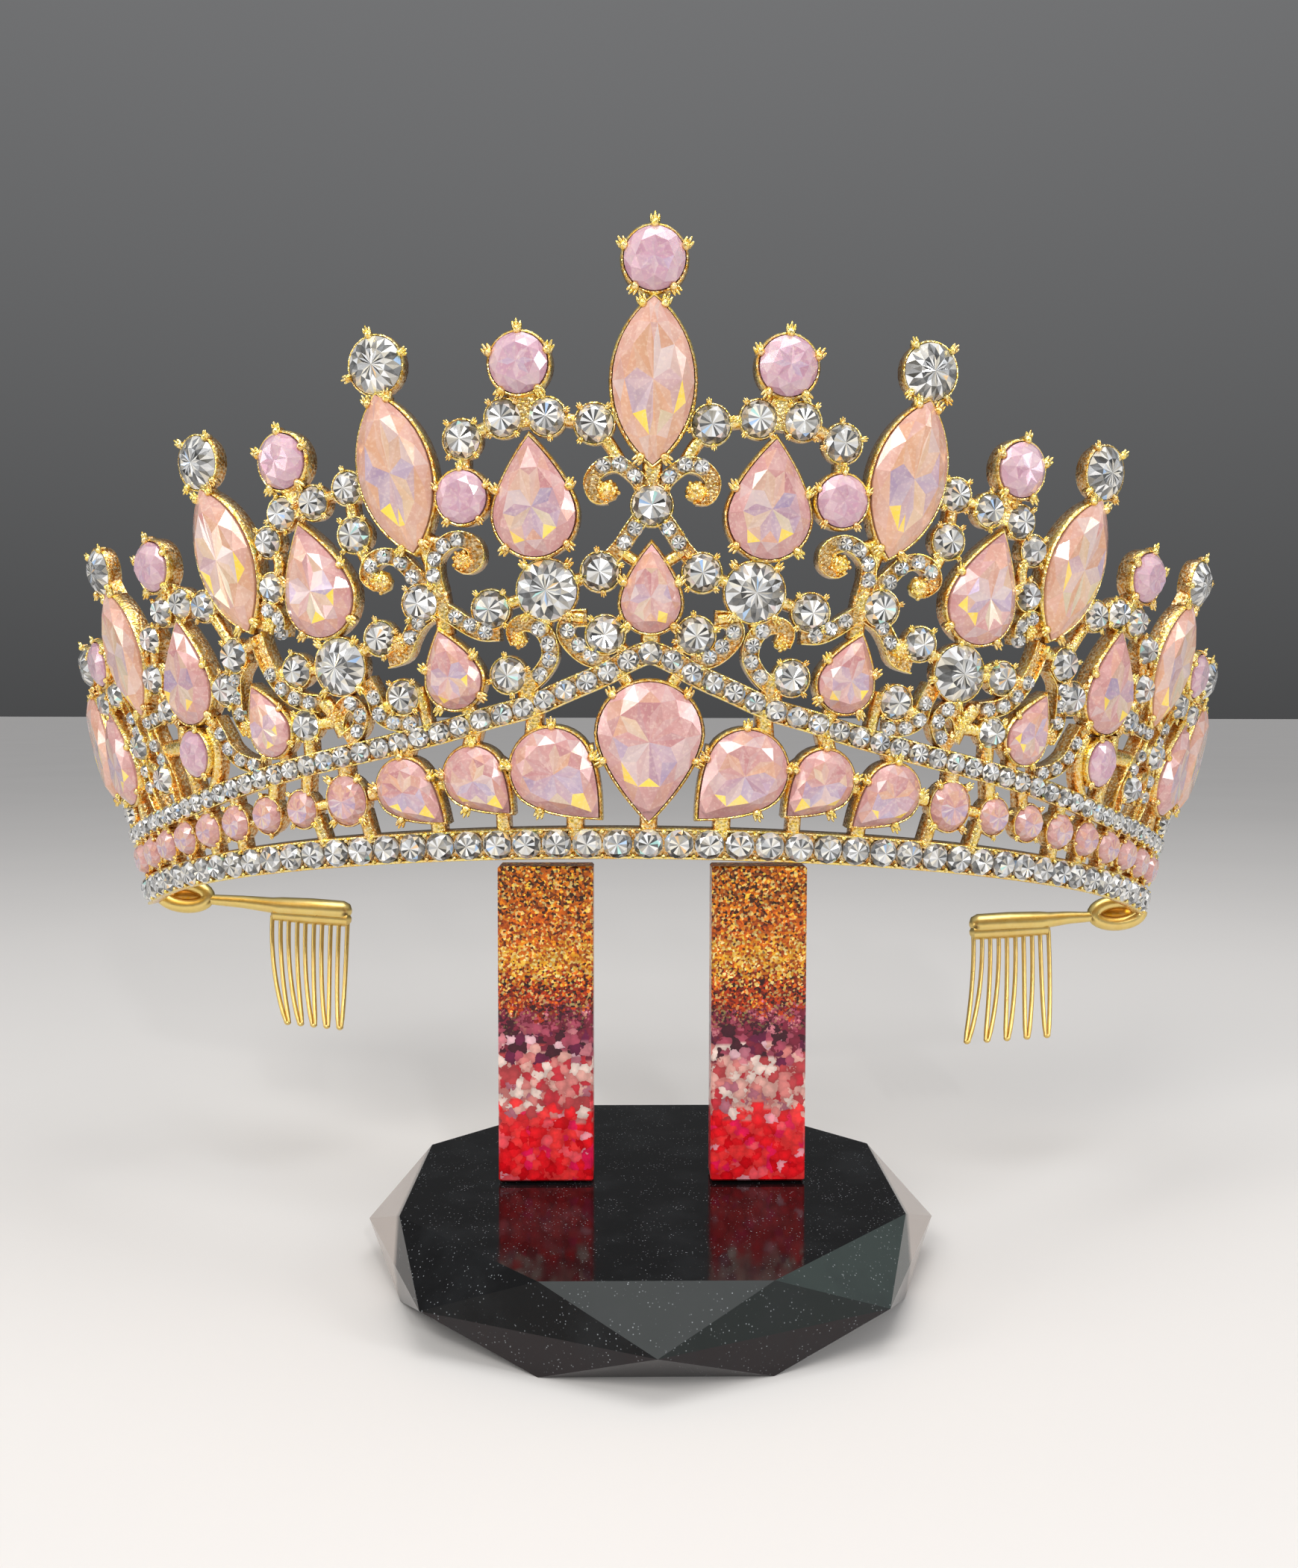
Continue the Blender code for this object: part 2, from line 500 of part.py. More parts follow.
# How far the borders may be simplified, in millimetres
JOIN_CLOSER = 0.7
SEAT_JOIN = 0.1
STRAIGHT_WITHIN = 0.30
STRAIGHT_LONGEST = 7.0


def joined_close(points, edges, seats, distance):
    """Ends of very short edges become one point. The seats' corners stay where they are."""
    parent = list(range(len(points)))

    def top(i):
        while parent[i] != i:
            parent[i] = parent[parent[i]]
            i = parent[i]
        return i

    for a, b in edges:
        reach = SEAT_JOIN if a in seats and b in seats else distance
        both_seats = top(a) in seats and top(b) in seats and reach > SEAT_JOIN
        if math.dist(points[a], points[b]) < reach and not both_seats:
            if top(b) in seats:
                parent[top(a)] = top(b)
            else:
                parent[top(b)] = top(a)
    place = {}
    for a, b in edges:
        for i in (a, b):
            place.setdefault(top(i), []).append(points[i])
    for i, found in place.items():
        place[i] = points[i] if i in seats else tuple(np.mean(np.array(found), axis=0))
    result = {tuple(sorted((top(a), top(b)))) for a, b in edges if top(a) != top(b)}
    return place, result


def without_straight(place, edges, seats, tolerance, longest):
    """Points that only continue a straight border are left out."""
    links = {}
    for a, b in edges:
        links.setdefault(a, set()).add(b)
        links.setdefault(b, set()).add(a)
    for i in sorted(links):
        if len(links[i]) != 2 or i in seats:
            continue
        a, b = sorted(links[i])
        if b in links[a]:
            continue
        pa, pb, p = Vector(place[a]), Vector(place[b]), Vector(place[i])
        span = (pb - pa).length
        if span > longest or span < 1e-6:
            continue
        off = abs((pb - pa).cross(p - pa)) / span
        if off < tolerance:
            links[a].discard(i)
            links[b].discard(i)
            links[a].add(b)
            links[b].add(a)
            links[i] = set()
    return {tuple(sorted((a, b))) for a in links for b in links[a]}


def renumbered(place, edges):
    used = sorted({i for edge in edges for i in edge})
    number = {i: k for k, i in enumerate(used)}
    return [place[i] for i in used], [(number[a], number[b]) for a, b in sorted(edges)]


def casting_mesh(shapes):
    """The pierced casting as vertices (s, h, t) and faces."""
    points, edges = [], []
    outlines = [o for kind in ("metal", "claw", "seat") for o in shapes[kind]]
    outlines += [entry[0] for entry in shapes["fixed"]]
    for outline in outlines:
        start = len(points)
        points.extend(outline)
        edges.extend((start + i, start + (i + 1) % len(outline)) for i in range(len(outline)))
    verts, faces = triangulate(points, edges)
    region = classify(verts[faces].mean(axis=1), shapes)
    keep, seats = borders(verts, faces, region)
    place, keep = joined_close([tuple(v) for v in verts], keep, seats, JOIN_CLOSER)
    keep = without_straight(place, keep, seats, STRAIGHT_WITHIN, STRAIGHT_LONGEST)
    points, edges = renumbered(place, keep)
    verts, faces = triangulate(points, edges)
    region = classify(verts[faces].mean(axis=1), shapes)
    level = {-1: None, 0: T_SEAT, 1: T_FRONT, 2: T_CLAW}
    for i in range(len(shapes["fixed"])):
        level[10 + i] = T_FRONT
    region = largest_piece(faces, region)
    region = without_pinches(verts, faces, region, level)
    return raised_faces(verts, faces, region, level, shapes)


def edge_groups(faces, members):
    """Sets of these triangles that hang together by their edges, the largest first."""
    owners = {}
    for f in members:
        for i in range(3):
            a, b = int(faces[f][i]), int(faces[f][(i + 1) % 3])
            owners.setdefault((min(a, b), max(a, b)), []).append(f)
    links = {f: [] for f in members}
    for found in owners.values():
        if len(found) == 2:
            links[found[0]].append(found[1])
            links[found[1]].append(found[0])
    groups, seen = [], set()
    for first in members:
        if first in seen:
            continue
        stack, group = [first], []
        seen.add(first)
        while stack:
            f = stack.pop()
            group.append(f)
            for other in links[f]:
                if other not in seen:
                    seen.add(other)
                    stack.append(other)
        groups.append(group)
    return sorted(groups, key=len, reverse=True)


def largest_piece(faces, region):
    """Metal that is not joined to the main piece is dropped."""
    region = region.copy()
    for group in edge_groups(faces, [f for f in range(len(faces)) if region[f] >= 0])[1:]:
        for f in group:
            region[f] = -1
    return region


def fans(verts, faces):
    """Triangles round each vertex, in turn."""
    around = [[] for _ in verts]
    for f, face in enumerate(faces):
        for i in face:
            around[int(i)].append(f)
    centres = verts[faces].mean(axis=1)
    for v, found in enumerate(around):
        found.sort(key=lambda f: math.atan2(centres[f][1] - verts[v][1], centres[f][0] - verts[v][0]))
    return around


def without_pinches(verts, faces, region, level):
    """Where two separate high parts meet in one point only, the smallest low triangle between is raised.

    The seats' floors are never raised: there the smallest high triangle is lowered instead.
    """
    region = region.copy()
    around = fans(verts, faces)

    def height(f):
        t = level[int(region[f])]
        return T_BACK - 1.0 if t is None else t

    corners = verts[faces]
    area = np.abs((corners[:, 1, 0] - corners[:, 0, 0]) * (corners[:, 2, 1] - corners[:, 0, 1])
                  - (corners[:, 2, 0] - corners[:, 0, 0]) * (corners[:, 1, 1] - corners[:, 0, 1])) / 2
    for _ in range(30):
        changed = False
        for v, found in enumerate(around):
            heights = [height(f) for f in found]
            for cut in sorted(set(heights))[1:]:
                high = [t >= cut for t in heights]
                turns = sum(1 for i in range(len(high)) if high[i] != high[i - 1])
                if turns > 2:
                    low = [f for f, up in zip(found, high) if not up and region[f] != 0]
                    ring = [f for f, up in zip(found, high) if up]
                    if low:
                        pick = min(low, key=lambda f: area[f])
                        region[pick] = min((region[f] for f in ring), key=lambda r: level[int(r)])
                    else:
                        region[min(ring, key=lambda f: area[f])] = 0
                    changed = True
                    break
        if not changed:
            break
    return region


def loop_of(faces, members):
    """The border of a group of triangles as one ordered loop, or None."""
    following = {}
    for f in members:
        face = [int(i) for i in faces[f]]
        for i in range(3):
            following[(face[i], face[(i + 1) % 3])] = True
    border = {a: b for (a, b) in following if (b, a) not in following}
    if len(border) != sum(1 for (a, b) in following if (b, a) not in following):
        return None
    start = min(border)
    loop = [start]
    while border[loop[-1]] != start:
        loop.append(border[loop[-1]])
        if len(loop) > len(border):
            return None
    return loop if len(loop) == len(border) else None


def raised_faces(verts, faces, region, level, shapes):
    heights = [level[int(r)] for r in region]
    here = [set() for _ in verts]
    for f, face in enumerate(faces):
        for i in face:
            here[int(i)].add(T_BACK if heights[f] is None else heights[f])
            if heights[f] is not None:
                here[int(i)].add(heights[f])
    index, out_verts, out_faces = {}, [], []

    def vertex(i, t):
        key = (i, t)
        if key not in index:
            index[key] = len(out_verts)
            out_verts.append((verts[i][0], verts[i][1], t))
        return index[key]

    # Caps of the fixed stones
    capped = set()
    groups = {}
    for f, r in enumerate(region):
        if r >= 10:
            groups.setdefault(int(r), []).append(f)
    for r, found in sorted(groups.items()):
        members = edge_groups(faces, found)[0]
        loop = loop_of(faces, members)
        if loop is None or len(loop) < 5:
            continue
        outline, centre = shapes["fixed"][r - 10]
        top = []
        for i in loop:
            s = centre[0] + FIXED_TABLE_SHARE * (verts[i][0] - centre[0])
            h = centre[1] + FIXED_TABLE_SHARE * (verts[i][1] - centre[1])
            top.append(len(out_verts))
            out_verts.append((s, h, FIXED_TABLE))
        for k in range(len(loop)):
            a, b = loop[k], loop[(k + 1) % len(loop)]
            out_faces.append((vertex(a, T_FRONT), vertex(b, T_FRONT), top[(k + 1) % len(loop)], top[k]))
        out_faces.append(tuple(top))
        capped.update(members)
    # Tops
    for f, face in enumerate(faces):
        if heights[f] is not None and f not in capped:
            out_faces.append(tuple(vertex(int(i), heights[f]) for i in face))
    # Walls
    sides = {}
    for f, face in enumerate(faces):
        for i in range(3):
            a, b = int(face[i]), int(face[(i + 1) % 3])
            sides[(a, b)] = f
    outer = []
    for (a, b), f in sorted(sides.items()):
        mine = heights[f]
        other = heights[sides[(b, a)]] if (b, a) in sides else None
        if mine is None:
            continue
        if other is None:
            outer.append((a, b))
            low = T_BACK
        else:
            low = other
        if low >= mine:
            continue
        between_b = sorted(t for t in here[b] if low < t < mine)
        between_a = sorted((t for t in here[a] if low < t < mine), reverse=True)
        wall = [vertex(a, low), vertex(b, low)] + [vertex(b, t) for t in between_b]
        wall += [vertex(b, mine), vertex(a, mine)] + [vertex(a, t) for t in between_a]
        out_faces.append(tuple(wall))
    # Back
    used = sorted({i for edge in outer for i in edge})
    number = {i: k for k, i in enumerate(used)}
    back_points = [tuple(verts[i]) for i in used]
    back_verts, back_faces = triangulate(back_points, [(number[a], number[b]) for a, b in outer])
    nearest = {}
    for k, p in enumerate(back_verts):
        nearest[k] = used[int(np.argmin(np.hypot(verts[used, 0] - p[0], verts[used, 1] - p[1])))]
    solid = point_regions(back_verts[back_faces].mean(axis=1), verts, faces, region)
    for face, filled in zip(back_faces, solid):
        if filled:
            a, b, c = (nearest[int(i)] for i in face)
            out_faces.append((vertex(a, T_BACK), vertex(c, T_BACK), vertex(b, T_BACK)))
    return out_verts, out_faces


def point_regions(points, verts, faces, region):
    """Whether each point lies on metal, by the triangle that holds it."""
    solid = np.zeros(len(points), dtype=bool)
    metal = faces[region >= 0]
    a, b, c = verts[metal[:, 0]], verts[metal[:, 1]], verts[metal[:, 2]]
    for k, p in enumerate(points):
        d1 = (b[:, 0] - a[:, 0]) * (p[1] - a[:, 1]) - (b[:, 1] - a[:, 1]) * (p[0] - a[:, 0])
        d2 = (c[:, 0] - b[:, 0]) * (p[1] - b[:, 1]) - (c[:, 1] - b[:, 1]) * (p[0] - b[:, 0])
        d3 = (a[:, 0] - c[:, 0]) * (p[1] - c[:, 1]) - (a[:, 1] - c[:, 1]) * (p[0] - c[:, 0])
        solid[k] = bool(np.any((d1 >= 0) & (d2 >= 0) & (d3 >= 0)))
    return solid


# Objects

def material(name, colour, roughness, metallic):
    mat = bpy.data.materials.new(name)
    mat.use_nodes = True
    bsdf = mat.node_tree.nodes["Principled BSDF"]
    bsdf.inputs["Base Color"].default_value = (*colour, 1.0)
    bsdf.inputs["Roughness"].default_value = roughness
    bsdf.inputs["Metallic"].default_value = metallic
    return mat


def add_object(name, verts, faces, mat, placement=None):
    mesh = bpy.data.meshes.new(name)
    mesh.from_pydata([tuple(Vector(v) * MM) for v in verts], [], faces)
    mesh.validate()
    mesh.materials.append(mat)
    obj = bpy.data.objects.new(name, mesh)
    bpy.context.scene.collection.objects.link(obj)
    if placement is not None:
        obj.matrix_world = placement
    return obj


def triangulated(obj):
    bm = bmesh.new()
    bm.from_mesh(obj.data)
    bmesh.ops.triangulate(bm, faces=bm.faces[:])
    bmesh.ops.recalc_face_normals(bm, faces=bm.faces[:])
    bm.to_mesh(obj.data)
    bm.free()


def add_casting(mat, placement):
    flat_verts, faces = casting_mesh(layout())
    verts = [surface_point(s, h, t) for s, h, t in flat_verts]
    obj = add_object("tiara_casting", verts, faces, mat, placement)
    triangulated(obj)
    return obj


def add_cut_stone(name, shape, tip, foot, width, mat, placement):
    """A flat-backed cut stone: girdle, a ring of facets and a table."""
    seat = Seat(tip, foot, width)
    outline = stone_outline(shape, width, seat.height)
    inner = [(x * CUT_TABLE_SHARE, y * CUT_TABLE_SHARE) for x, y in outline]
    count = len(outline)
    thick = CUT_TABLE if width > 7.0 else CUT_TABLE - 0.4
    verts = [(x, y, 0.0) for x, y in outline]
    verts += [(x, y, CUT_GIRDLE - GAP) for x, y in outline]
    verts += [(x, y, thick - GAP) for x, y in inner]
    faces = [tuple(range(count - 1, -1, -1)), tuple(range(2 * count, 3 * count))]
    for ring in (0, 1):
        for i in range(count):
            a = ring * count + i
            b = ring * count + (i + 1) % count
            faces.append((a, b, b + count, a + count))
    side, up, normal = surface_axes(seat.s)
    axis_y = side * math.sin(seat.lean) + up * math.cos(seat.lean)
    axis_x = side * math.cos(seat.lean) - up * math.sin(seat.lean)
    turn = Matrix((axis_x, axis_y, normal)).transposed().to_4x4()
    where = Matrix.Translation(surface_point(seat.s, seat.h, T_SEAT + GAP) * MM)
    obj = add_object(name, verts, faces, mat, placement @ where @ turn)
    triangulated(obj)
    return obj


def box(bm, low, high):
    size = Vector(high) - Vector(low)
    middle = (Vector(high) + Vector(low)) / 2
    matrix = Matrix.Translation(middle) @ Matrix.Diagonal((*size, 1.0))
    bmesh.ops.create_cube(bm, size=1.0, matrix=matrix)


def add_comb(name, side, lug_out, bar_out, lift, mat, placement):
    """Hair comb behind one end of the band: a lug, an arm, a bar and teeth, as one outline with thickness.

    The combs hang loosely in their lugs, so each has its own reach and lift.
    """
    lug_in, lug_low, lug_high = lug_out - COMB_LUG_WIDTH, -11.4, -5.6
    arm_low, arm_high = -10.0, -7.8
    bar_low, bar_high = -11.9, -7.3
    thick = 2.0
    half = COMB_TOOTH_WIDTH / 2
    points = [(lug_in, lug_high + 1.0), (lug_in + 1.4, lug_high), (lug_out - 1.6, lug_high),
              (lug_out, lug_high - 1.6), (lug_out - 0.8, lug_low + 2.0), (lug_out - 3.4, lug_low),
              (lug_in + 1.8, lug_low), (lug_in, arm_low), (bar_out, arm_low), (bar_out, bar_low)]
    first = bar_out - half - 0.2
    for i in range(COMB_TEETH):
        x = first - i * COMB_TOOTH_PITCH
        tip = bar_low - COMB_TOOTH_LENGTH
        if i:
            points.append((x + half, bar_low))
        points += [(x + half, tip + 1.0), (x + half * 0.4, tip), (x - half * 0.4, tip),
                   (x - half, tip + 1.0), (x - half, bar_low)]
    end = first - (COMB_TEETH - 1) * COMB_TOOTH_PITCH - 1.4
    points += [(end, bar_low), (end, bar_high), (bar_out, bar_high), (lug_in - 0.6, arm_high)]
    outline = [(side * x, z + lift - COMB_SLOPE * (lug_in - x)) for x, z in points]
    if side > 0:
        outline.reverse()
    count = len(outline)
    front = [(x, COMB_DEPTH - thick / 2 + bow(x, z), z) for x, z in outline]
    back = [(x, COMB_DEPTH + thick / 2 + bow(x, z), z) for x, z in outline]
    faces = [tuple(range(count)), tuple(range(2 * count - 1, count - 1, -1))]
    for i in range(count):
        j = (i + 1) % count
        faces.append((i, i + count, j + count, j))
    obj = add_object(name, front + back, faces, mat, placement)
    triangulated(obj)
    return obj


def bow(x, z):
    """The comb's teeth curve a little towards the head."""
    return -0.006 * max(0.0, -z - 12.0) ** 2


def ring_points(radius, z, turn):
    """The corners of an eight-sided ring, turned by so many degrees."""
    angles = [math.radians(45 * k + turn) for k in range(8)]
    return [(radius * math.cos(a), radius * math.sin(a), z) for a in angles]


def add_base(mat):
    """Eight-sided base whose sides are triangles between three turned rings."""
    top = ring_points(BASE_TOP_RADIUS, BASE_HEIGHT, 22.5)
    girdle = ring_points(BASE_GIRDLE_RADIUS, BASE_HEIGHT - BASE_GIRDLE_DROP, 0.0)
    foot = ring_points(BASE_FOOT_RADIUS, 0.0, 22.5)
    faces = [tuple(range(8)), tuple(range(23, 15, -1))]
    for k in range(8):
        after = (k + 1) % 8
        faces.append((k, 8 + k, 8 + after))
        faces.append((k, 8 + after, after))
        faces.append((16 + k, 8 + after, 8 + k))
        faces.append((16 + k, 16 + after, 8 + after))
    obj = add_object("stand_base", top + girdle + foot, faces, mat)
    triangulated(obj)
    return obj


def add_post(name, side, mat):
    """One upright post with small rounded upright edges."""
    x_low = side * (POST_INNER_GAP / 2) if side > 0 else -(POST_INNER_GAP / 2 + POST_WIDTH)
    bm = bmesh.new()
    low = (x_low, -POST_DEPTH / 2, BASE_HEIGHT + GAP)
    high = (x_low + POST_WIDTH, POST_DEPTH / 2, BASE_HEIGHT + GAP + POST_HEIGHT)
    box(bm, low, high)
    bmesh.ops.bevel(bm, geom=bm.edges[:], offset=0.25, segments=1, affect="EDGES")
    mesh = bpy.data.meshes.new(name)
    bmesh.ops.scale(bm, vec=(MM, MM, MM), verts=bm.verts[:])
    bm.to_mesh(mesh)
    bm.free()
    mesh.materials.append(mat)
    obj = bpy.data.objects.new(name, mesh)
    bpy.context.scene.collection.objects.link(obj)
    triangulated(obj)
    return obj


def build():
    for obj in list(bpy.data.objects):
        bpy.data.objects.remove(obj, do_unlink=True)
    gold = material("gold_plate", (0.83, 0.60, 0.26), 0.22, 1.0)
    comb_gold = material("comb_gold", (0.80, 0.60, 0.32), 0.30, 1.0)
    rose = material("rose_opal", (0.80, 0.52, 0.58), 0.08, 0.0)
    peach = material("peach_opal", (0.84, 0.62, 0.54), 0.08, 0.0)
    base_resin = material("black_resin", (0.015, 0.016, 0.018), 0.12, 0.0)
    glitter = material("glitter_resin", (0.72, 0.26, 0.16), 0.18, 0.0)
    placement = tiara_placement()
    add_casting(gold, placement)
    for name, shape, tip, foot, width in all_cut_stones():
        add_cut_stone(name, shape, tip, foot, width, peach if shape == "marquise" else rose, placement)
    add_comb("comb_right", 1, *COMB_RIGHT_PLACE, comb_gold, placement)
    add_comb("comb_left", -1, *COMB_LEFT_PLACE, comb_gold, placement)
    add_base(base_resin)
    add_post("stand_post_right", 1, glitter)
    add_post("stand_post_left", -1, glitter)


build()
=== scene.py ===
"""Looks of the pink and clear stone tiara on its display stand.

The casting, its claws, the cut stones and the combs are drawn again at full detail
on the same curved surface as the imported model, from the same tables. The stand keeps
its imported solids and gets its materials. Lengths are millimetres until the last step.
"""

import math
import random

import bpy
import numpy as np
from mathutils import Matrix, Vector


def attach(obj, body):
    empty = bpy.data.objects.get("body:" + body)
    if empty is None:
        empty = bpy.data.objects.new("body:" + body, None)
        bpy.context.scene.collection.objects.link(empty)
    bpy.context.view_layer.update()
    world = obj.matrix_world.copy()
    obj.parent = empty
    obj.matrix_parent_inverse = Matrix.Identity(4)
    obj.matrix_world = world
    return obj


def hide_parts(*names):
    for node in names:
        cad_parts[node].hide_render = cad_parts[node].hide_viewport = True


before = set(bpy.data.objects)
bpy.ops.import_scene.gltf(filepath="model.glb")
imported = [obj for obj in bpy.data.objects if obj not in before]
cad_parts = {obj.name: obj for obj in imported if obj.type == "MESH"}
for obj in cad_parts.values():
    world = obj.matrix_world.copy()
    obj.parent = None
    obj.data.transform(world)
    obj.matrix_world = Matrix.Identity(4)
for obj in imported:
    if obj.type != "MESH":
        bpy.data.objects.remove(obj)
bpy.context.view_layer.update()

MM = 0.001

# Surface of the tiara (millimetres, radians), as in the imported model
BAND_HALF_WIDTH = 92.2
BAND_HALF_DEPTH = 77.6
FLARE = 0.300
BAND_DROP = 3.1
ARC_END = 99.0
TIARA_BACK_TILT = 0.216
TIARA_ROLL = 0.0086
TIARA_YAW = -0.0118
TIARA_OFFSET = (-0.60, -3.51)
BAND_ABOVE_BASE = 46.2
BASE_HEIGHT = 11.0

# Levels outwards from the floor of the stones' seats
T_BACK = -1.3
T_STONE = 0.3                 # back of a loose cut stone
GIRDLE = 1.6                  # where its crown starts
TABLE = 2.9
SMALL_TABLE = 2.5
FIXED_GIRDLE = 0.85
FIXED_TABLE = 1.8

LOWER_BAND_HALF = 2.1
UPPER_BAND_HALF = 1.55
BAND_STONE = 3.88
BAND_STONE_PITCH = 4.0
UPPER_STONE = 2.85
UPPER_STONE_PITCH = 3.0

GOLDEN_TURN = 2.39996         # turn between neighbours, so that no two lie alike

# Camera, as solved from the photograph
CAMERA_AT = (-3.05, -170.22, 74.01)
CAMERA_FORWARD = (0.01515692, 0.9984026, -0.05442907)
CAMERA_UP = (-0.00117662, 0.05445309, 0.99851564)
CAMERA_FOCAL_PX = 1700.0
IMAGE_LONG_PX = 2100.0

# Loose cut stones: name, shape, tip (s, h), foot (s, h), width
CUT_STONES = [
    ("round_top_centre", "round", (0.0, 77.0), (0.0, 69.4), 7.6),
    ("marquise_centre", "marquise", (0.0, 68.7), (0.0, 48.5), 10.2),
    ("pear_middle_centre", "pear", (0.0, 38.6), (0.0, 27.5), 7.6),
    ("pear_lower_centre", "pear", (0.0, 3.1), (0.0, 21.2), 13.4),
]
PAIRED_CUT_STONES = [
    ("round_top_1", "round", (14.4, 64.9), (14.4, 57.5), 7.4),
    ("round_top_2", "round", (43.8, 56.7), (43.8, 49.5), 7.2),
    ("round_top_3", "round", (68.4, 48.3), (68.4, 41.2), 7.1),
    ("round_top_4", "round", (90.6, 39.9), (90.6, 32.9), 7.0),
    ("round_side", "round", (21.6, 48.6), (21.6, 42.0), 6.6),
    ("marquise_1", "marquise", (30.8, 59.1), (27.9, 38.9), 10.0),
    ("marquise_2", "marquise", (56.6, 52.2), (52.6, 32.1), 10.0),
    ("marquise_3", "marquise", (81.3, 44.7), (78.7, 25.2), 9.8),
    ("marquise_4", "marquise", (100.4, 34.4), (98.8, 15.6), 9.6),
    ("pear_upper_1", "pear", (13.6, 52.2), (13.1, 37.3), 10.6),
    ("pear_upper_2", "pear", (42.6, 44.4), (40.3, 29.5), 10.4),
    ("pear_upper_3", "pear", (65.4, 35.9), (66.2, 21.2), 10.2),
    ("pear_upper_4", "pear", (91.0, 28.5), (89.6, 13.4), 10.0),
    ("pear_middle_1", "pear", (25.6, 28.4), (23.3, 18.4), 7.5),
    ("pear_middle_2", "pear", (53.6, 24.2), (50.7, 14.5), 7.0),
    ("oval_middle_3", "oval", (67.4, 20.4), (67.4, 13.6), 6.2),
    ("pear_lower_1", "pear", (6.4, 3.6), (15.9, 13.8), 10.8),
    ("pear_lower_2", "pear", (17.9, 4.4), (25.2, 12.1), 8.1),
    ("pear_lower_3", "pear", (27.0, 3.5), (35.0, 10.8), 7.8),
]

# Stones fixed into the casting: s, h, width, height
CLEAR_CENTRE = [
    (0.0, 43.5, 5.0, 5.0),
]
CLEAR_PAIRS = [
    (6.4, 53.6, 4.8, 4.8), (11.6, 54.6, 4.6, 4.6), (16.5, 54.7, 4.6, 4.6), (21.3, 52.5, 4.8, 4.8),
    (5.9, 35.2, 4.8, 4.8), (12.2, 33.0, 7.7, 7.7), (5.4, 27.2, 4.8, 4.8), (17.3, 22.3, 4.6, 4.6),
    (19.1, 30.9, 4.8, 4.8), (27.9, 32.3, 4.7, 4.7), (33.6, 28.3, 4.4, 4.4), (31.3, 20.3, 4.4, 4.4),
    (39.7, 25.2, 7.6, 7.6), (35.8, 48.2, 4.2, 4.2), (35.6, 42.1, 4.5, 4.5), (40.6, 47.1, 4.3, 4.3),
    (45.2, 46.5, 4.3, 4.3), (47.8, 43.2, 4.0, 4.0), (48.2, 37.1, 3.9, 3.9), (46.3, 25.5, 4.4, 4.4),
    (46.1, 17.9, 4.2, 4.2), (68.9, 38.3, 4.2, 4.2), (64.6, 38.4, 4.2, 4.2), (60.3, 37.0, 4.2, 4.2),
    (56.4, 29.2, 4.6, 4.6), (59.0, 24.9, 4.6, 4.6), (72.9, 35.2, 4.2, 4.2), (74.3, 29.6, 4.4, 4.4),
    (83.0, 21.1, 4.4, 4.4), (77.6, 14.9, 4.4, 4.4), (87.3, 30.4, 4.2, 4.2), (94.2, 30.8, 4.0, 4.0),
    (72.4, 24.4, 3.4, 3.4), (94.6, 12.4, 3.4, 3.4),
    (30.7, 62.9, 7.3, 7.3), (56.9, 56.2, 7.2, 7.2), (83.4, 48.7, 7.0, 7.0), (100.2, 38.9, 6.8, 6.8),
]
PINK_PAIRS = [
    (41.3, 7.1, 6.2, 6.8), (48.8, 6.5, 4.9, 5.2), (55.3, 6.3, 5.1, 5.2), (61.9, 5.9, 5.1, 5.2),
    (68.4, 5.6, 5.1, 5.2), (74.9, 5.3, 5.1, 5.1), (81.3, 5.1, 5.1, 5.0), (87.7, 4.9, 5.1, 5.0),
    (94.1, 4.9, 5.1, 5.0),
]

# Small stones set along the scrolls: s, h
SMALL_STONES = [
    (5.5, 48.4), (3.6, 48.6), (1.9, 47.1), (1.9, 40.6), (3.1, 38.8), (9.9, 27.8), (8.6, 25.9),
    (7.1, 24.5), (13.4, 28.1), (12.3, 26.2), (12.2, 24.1), (13.4, 22.2), (22.6, 40.0), (24.4, 39.4),
    (25.6, 37.8), (25.9, 35.7), (33.8, 37.8), (32.0, 38.8), (29.9, 37.8), (28.6, 35.8), (23.5, 30.2),
    (21.7, 29.0), (19.9, 28.0), (28.3, 29.9), (29.5, 28.0), (35.4, 20.6), (34.9, 18.3), (33.0, 17.0),
    (30.7, 16.7), (38.8, 20.2), (37.6, 18.4), (38.3, 16.3), (50.6, 25.6), (49.2, 23.4), (47.3, 21.8),
    (45.0, 21.0), (49.4, 34.2), (47.9, 32.9), (47.9, 31.0), (57.0, 25.8), (57.2, 23.4), (57.1, 21.0),
    (61.6, 18.9), (60.6, 16.6), (58.6, 14.7), (56.2, 13.7), (74.0, 23.9), (76.4, 24.0), (78.8, 23.9),
    (78.3, 20.2), (76.9, 17.8), (83.9, 25.8), (82.9, 23.4), (83.2, 17.2), (82.9, 14.6), (97.6, 14.8),
]

UPPER_BAND = [
    (0.0, 24.9), (2.8, 23.8), (5.2, 22.3), (10.0, 20.2), (15.0, 18.1), (20.0, 16.9), (25.5, 15.5),
    (31.0, 14.5), (36.0, 13.7), (42.0, 13.0), (48.5, 12.3), (55.6, 11.5), (63.8, 10.6), (70.7, 9.9),
    (77.7, 9.5), (88.0, 9.3), (99.0, 9.2),
]

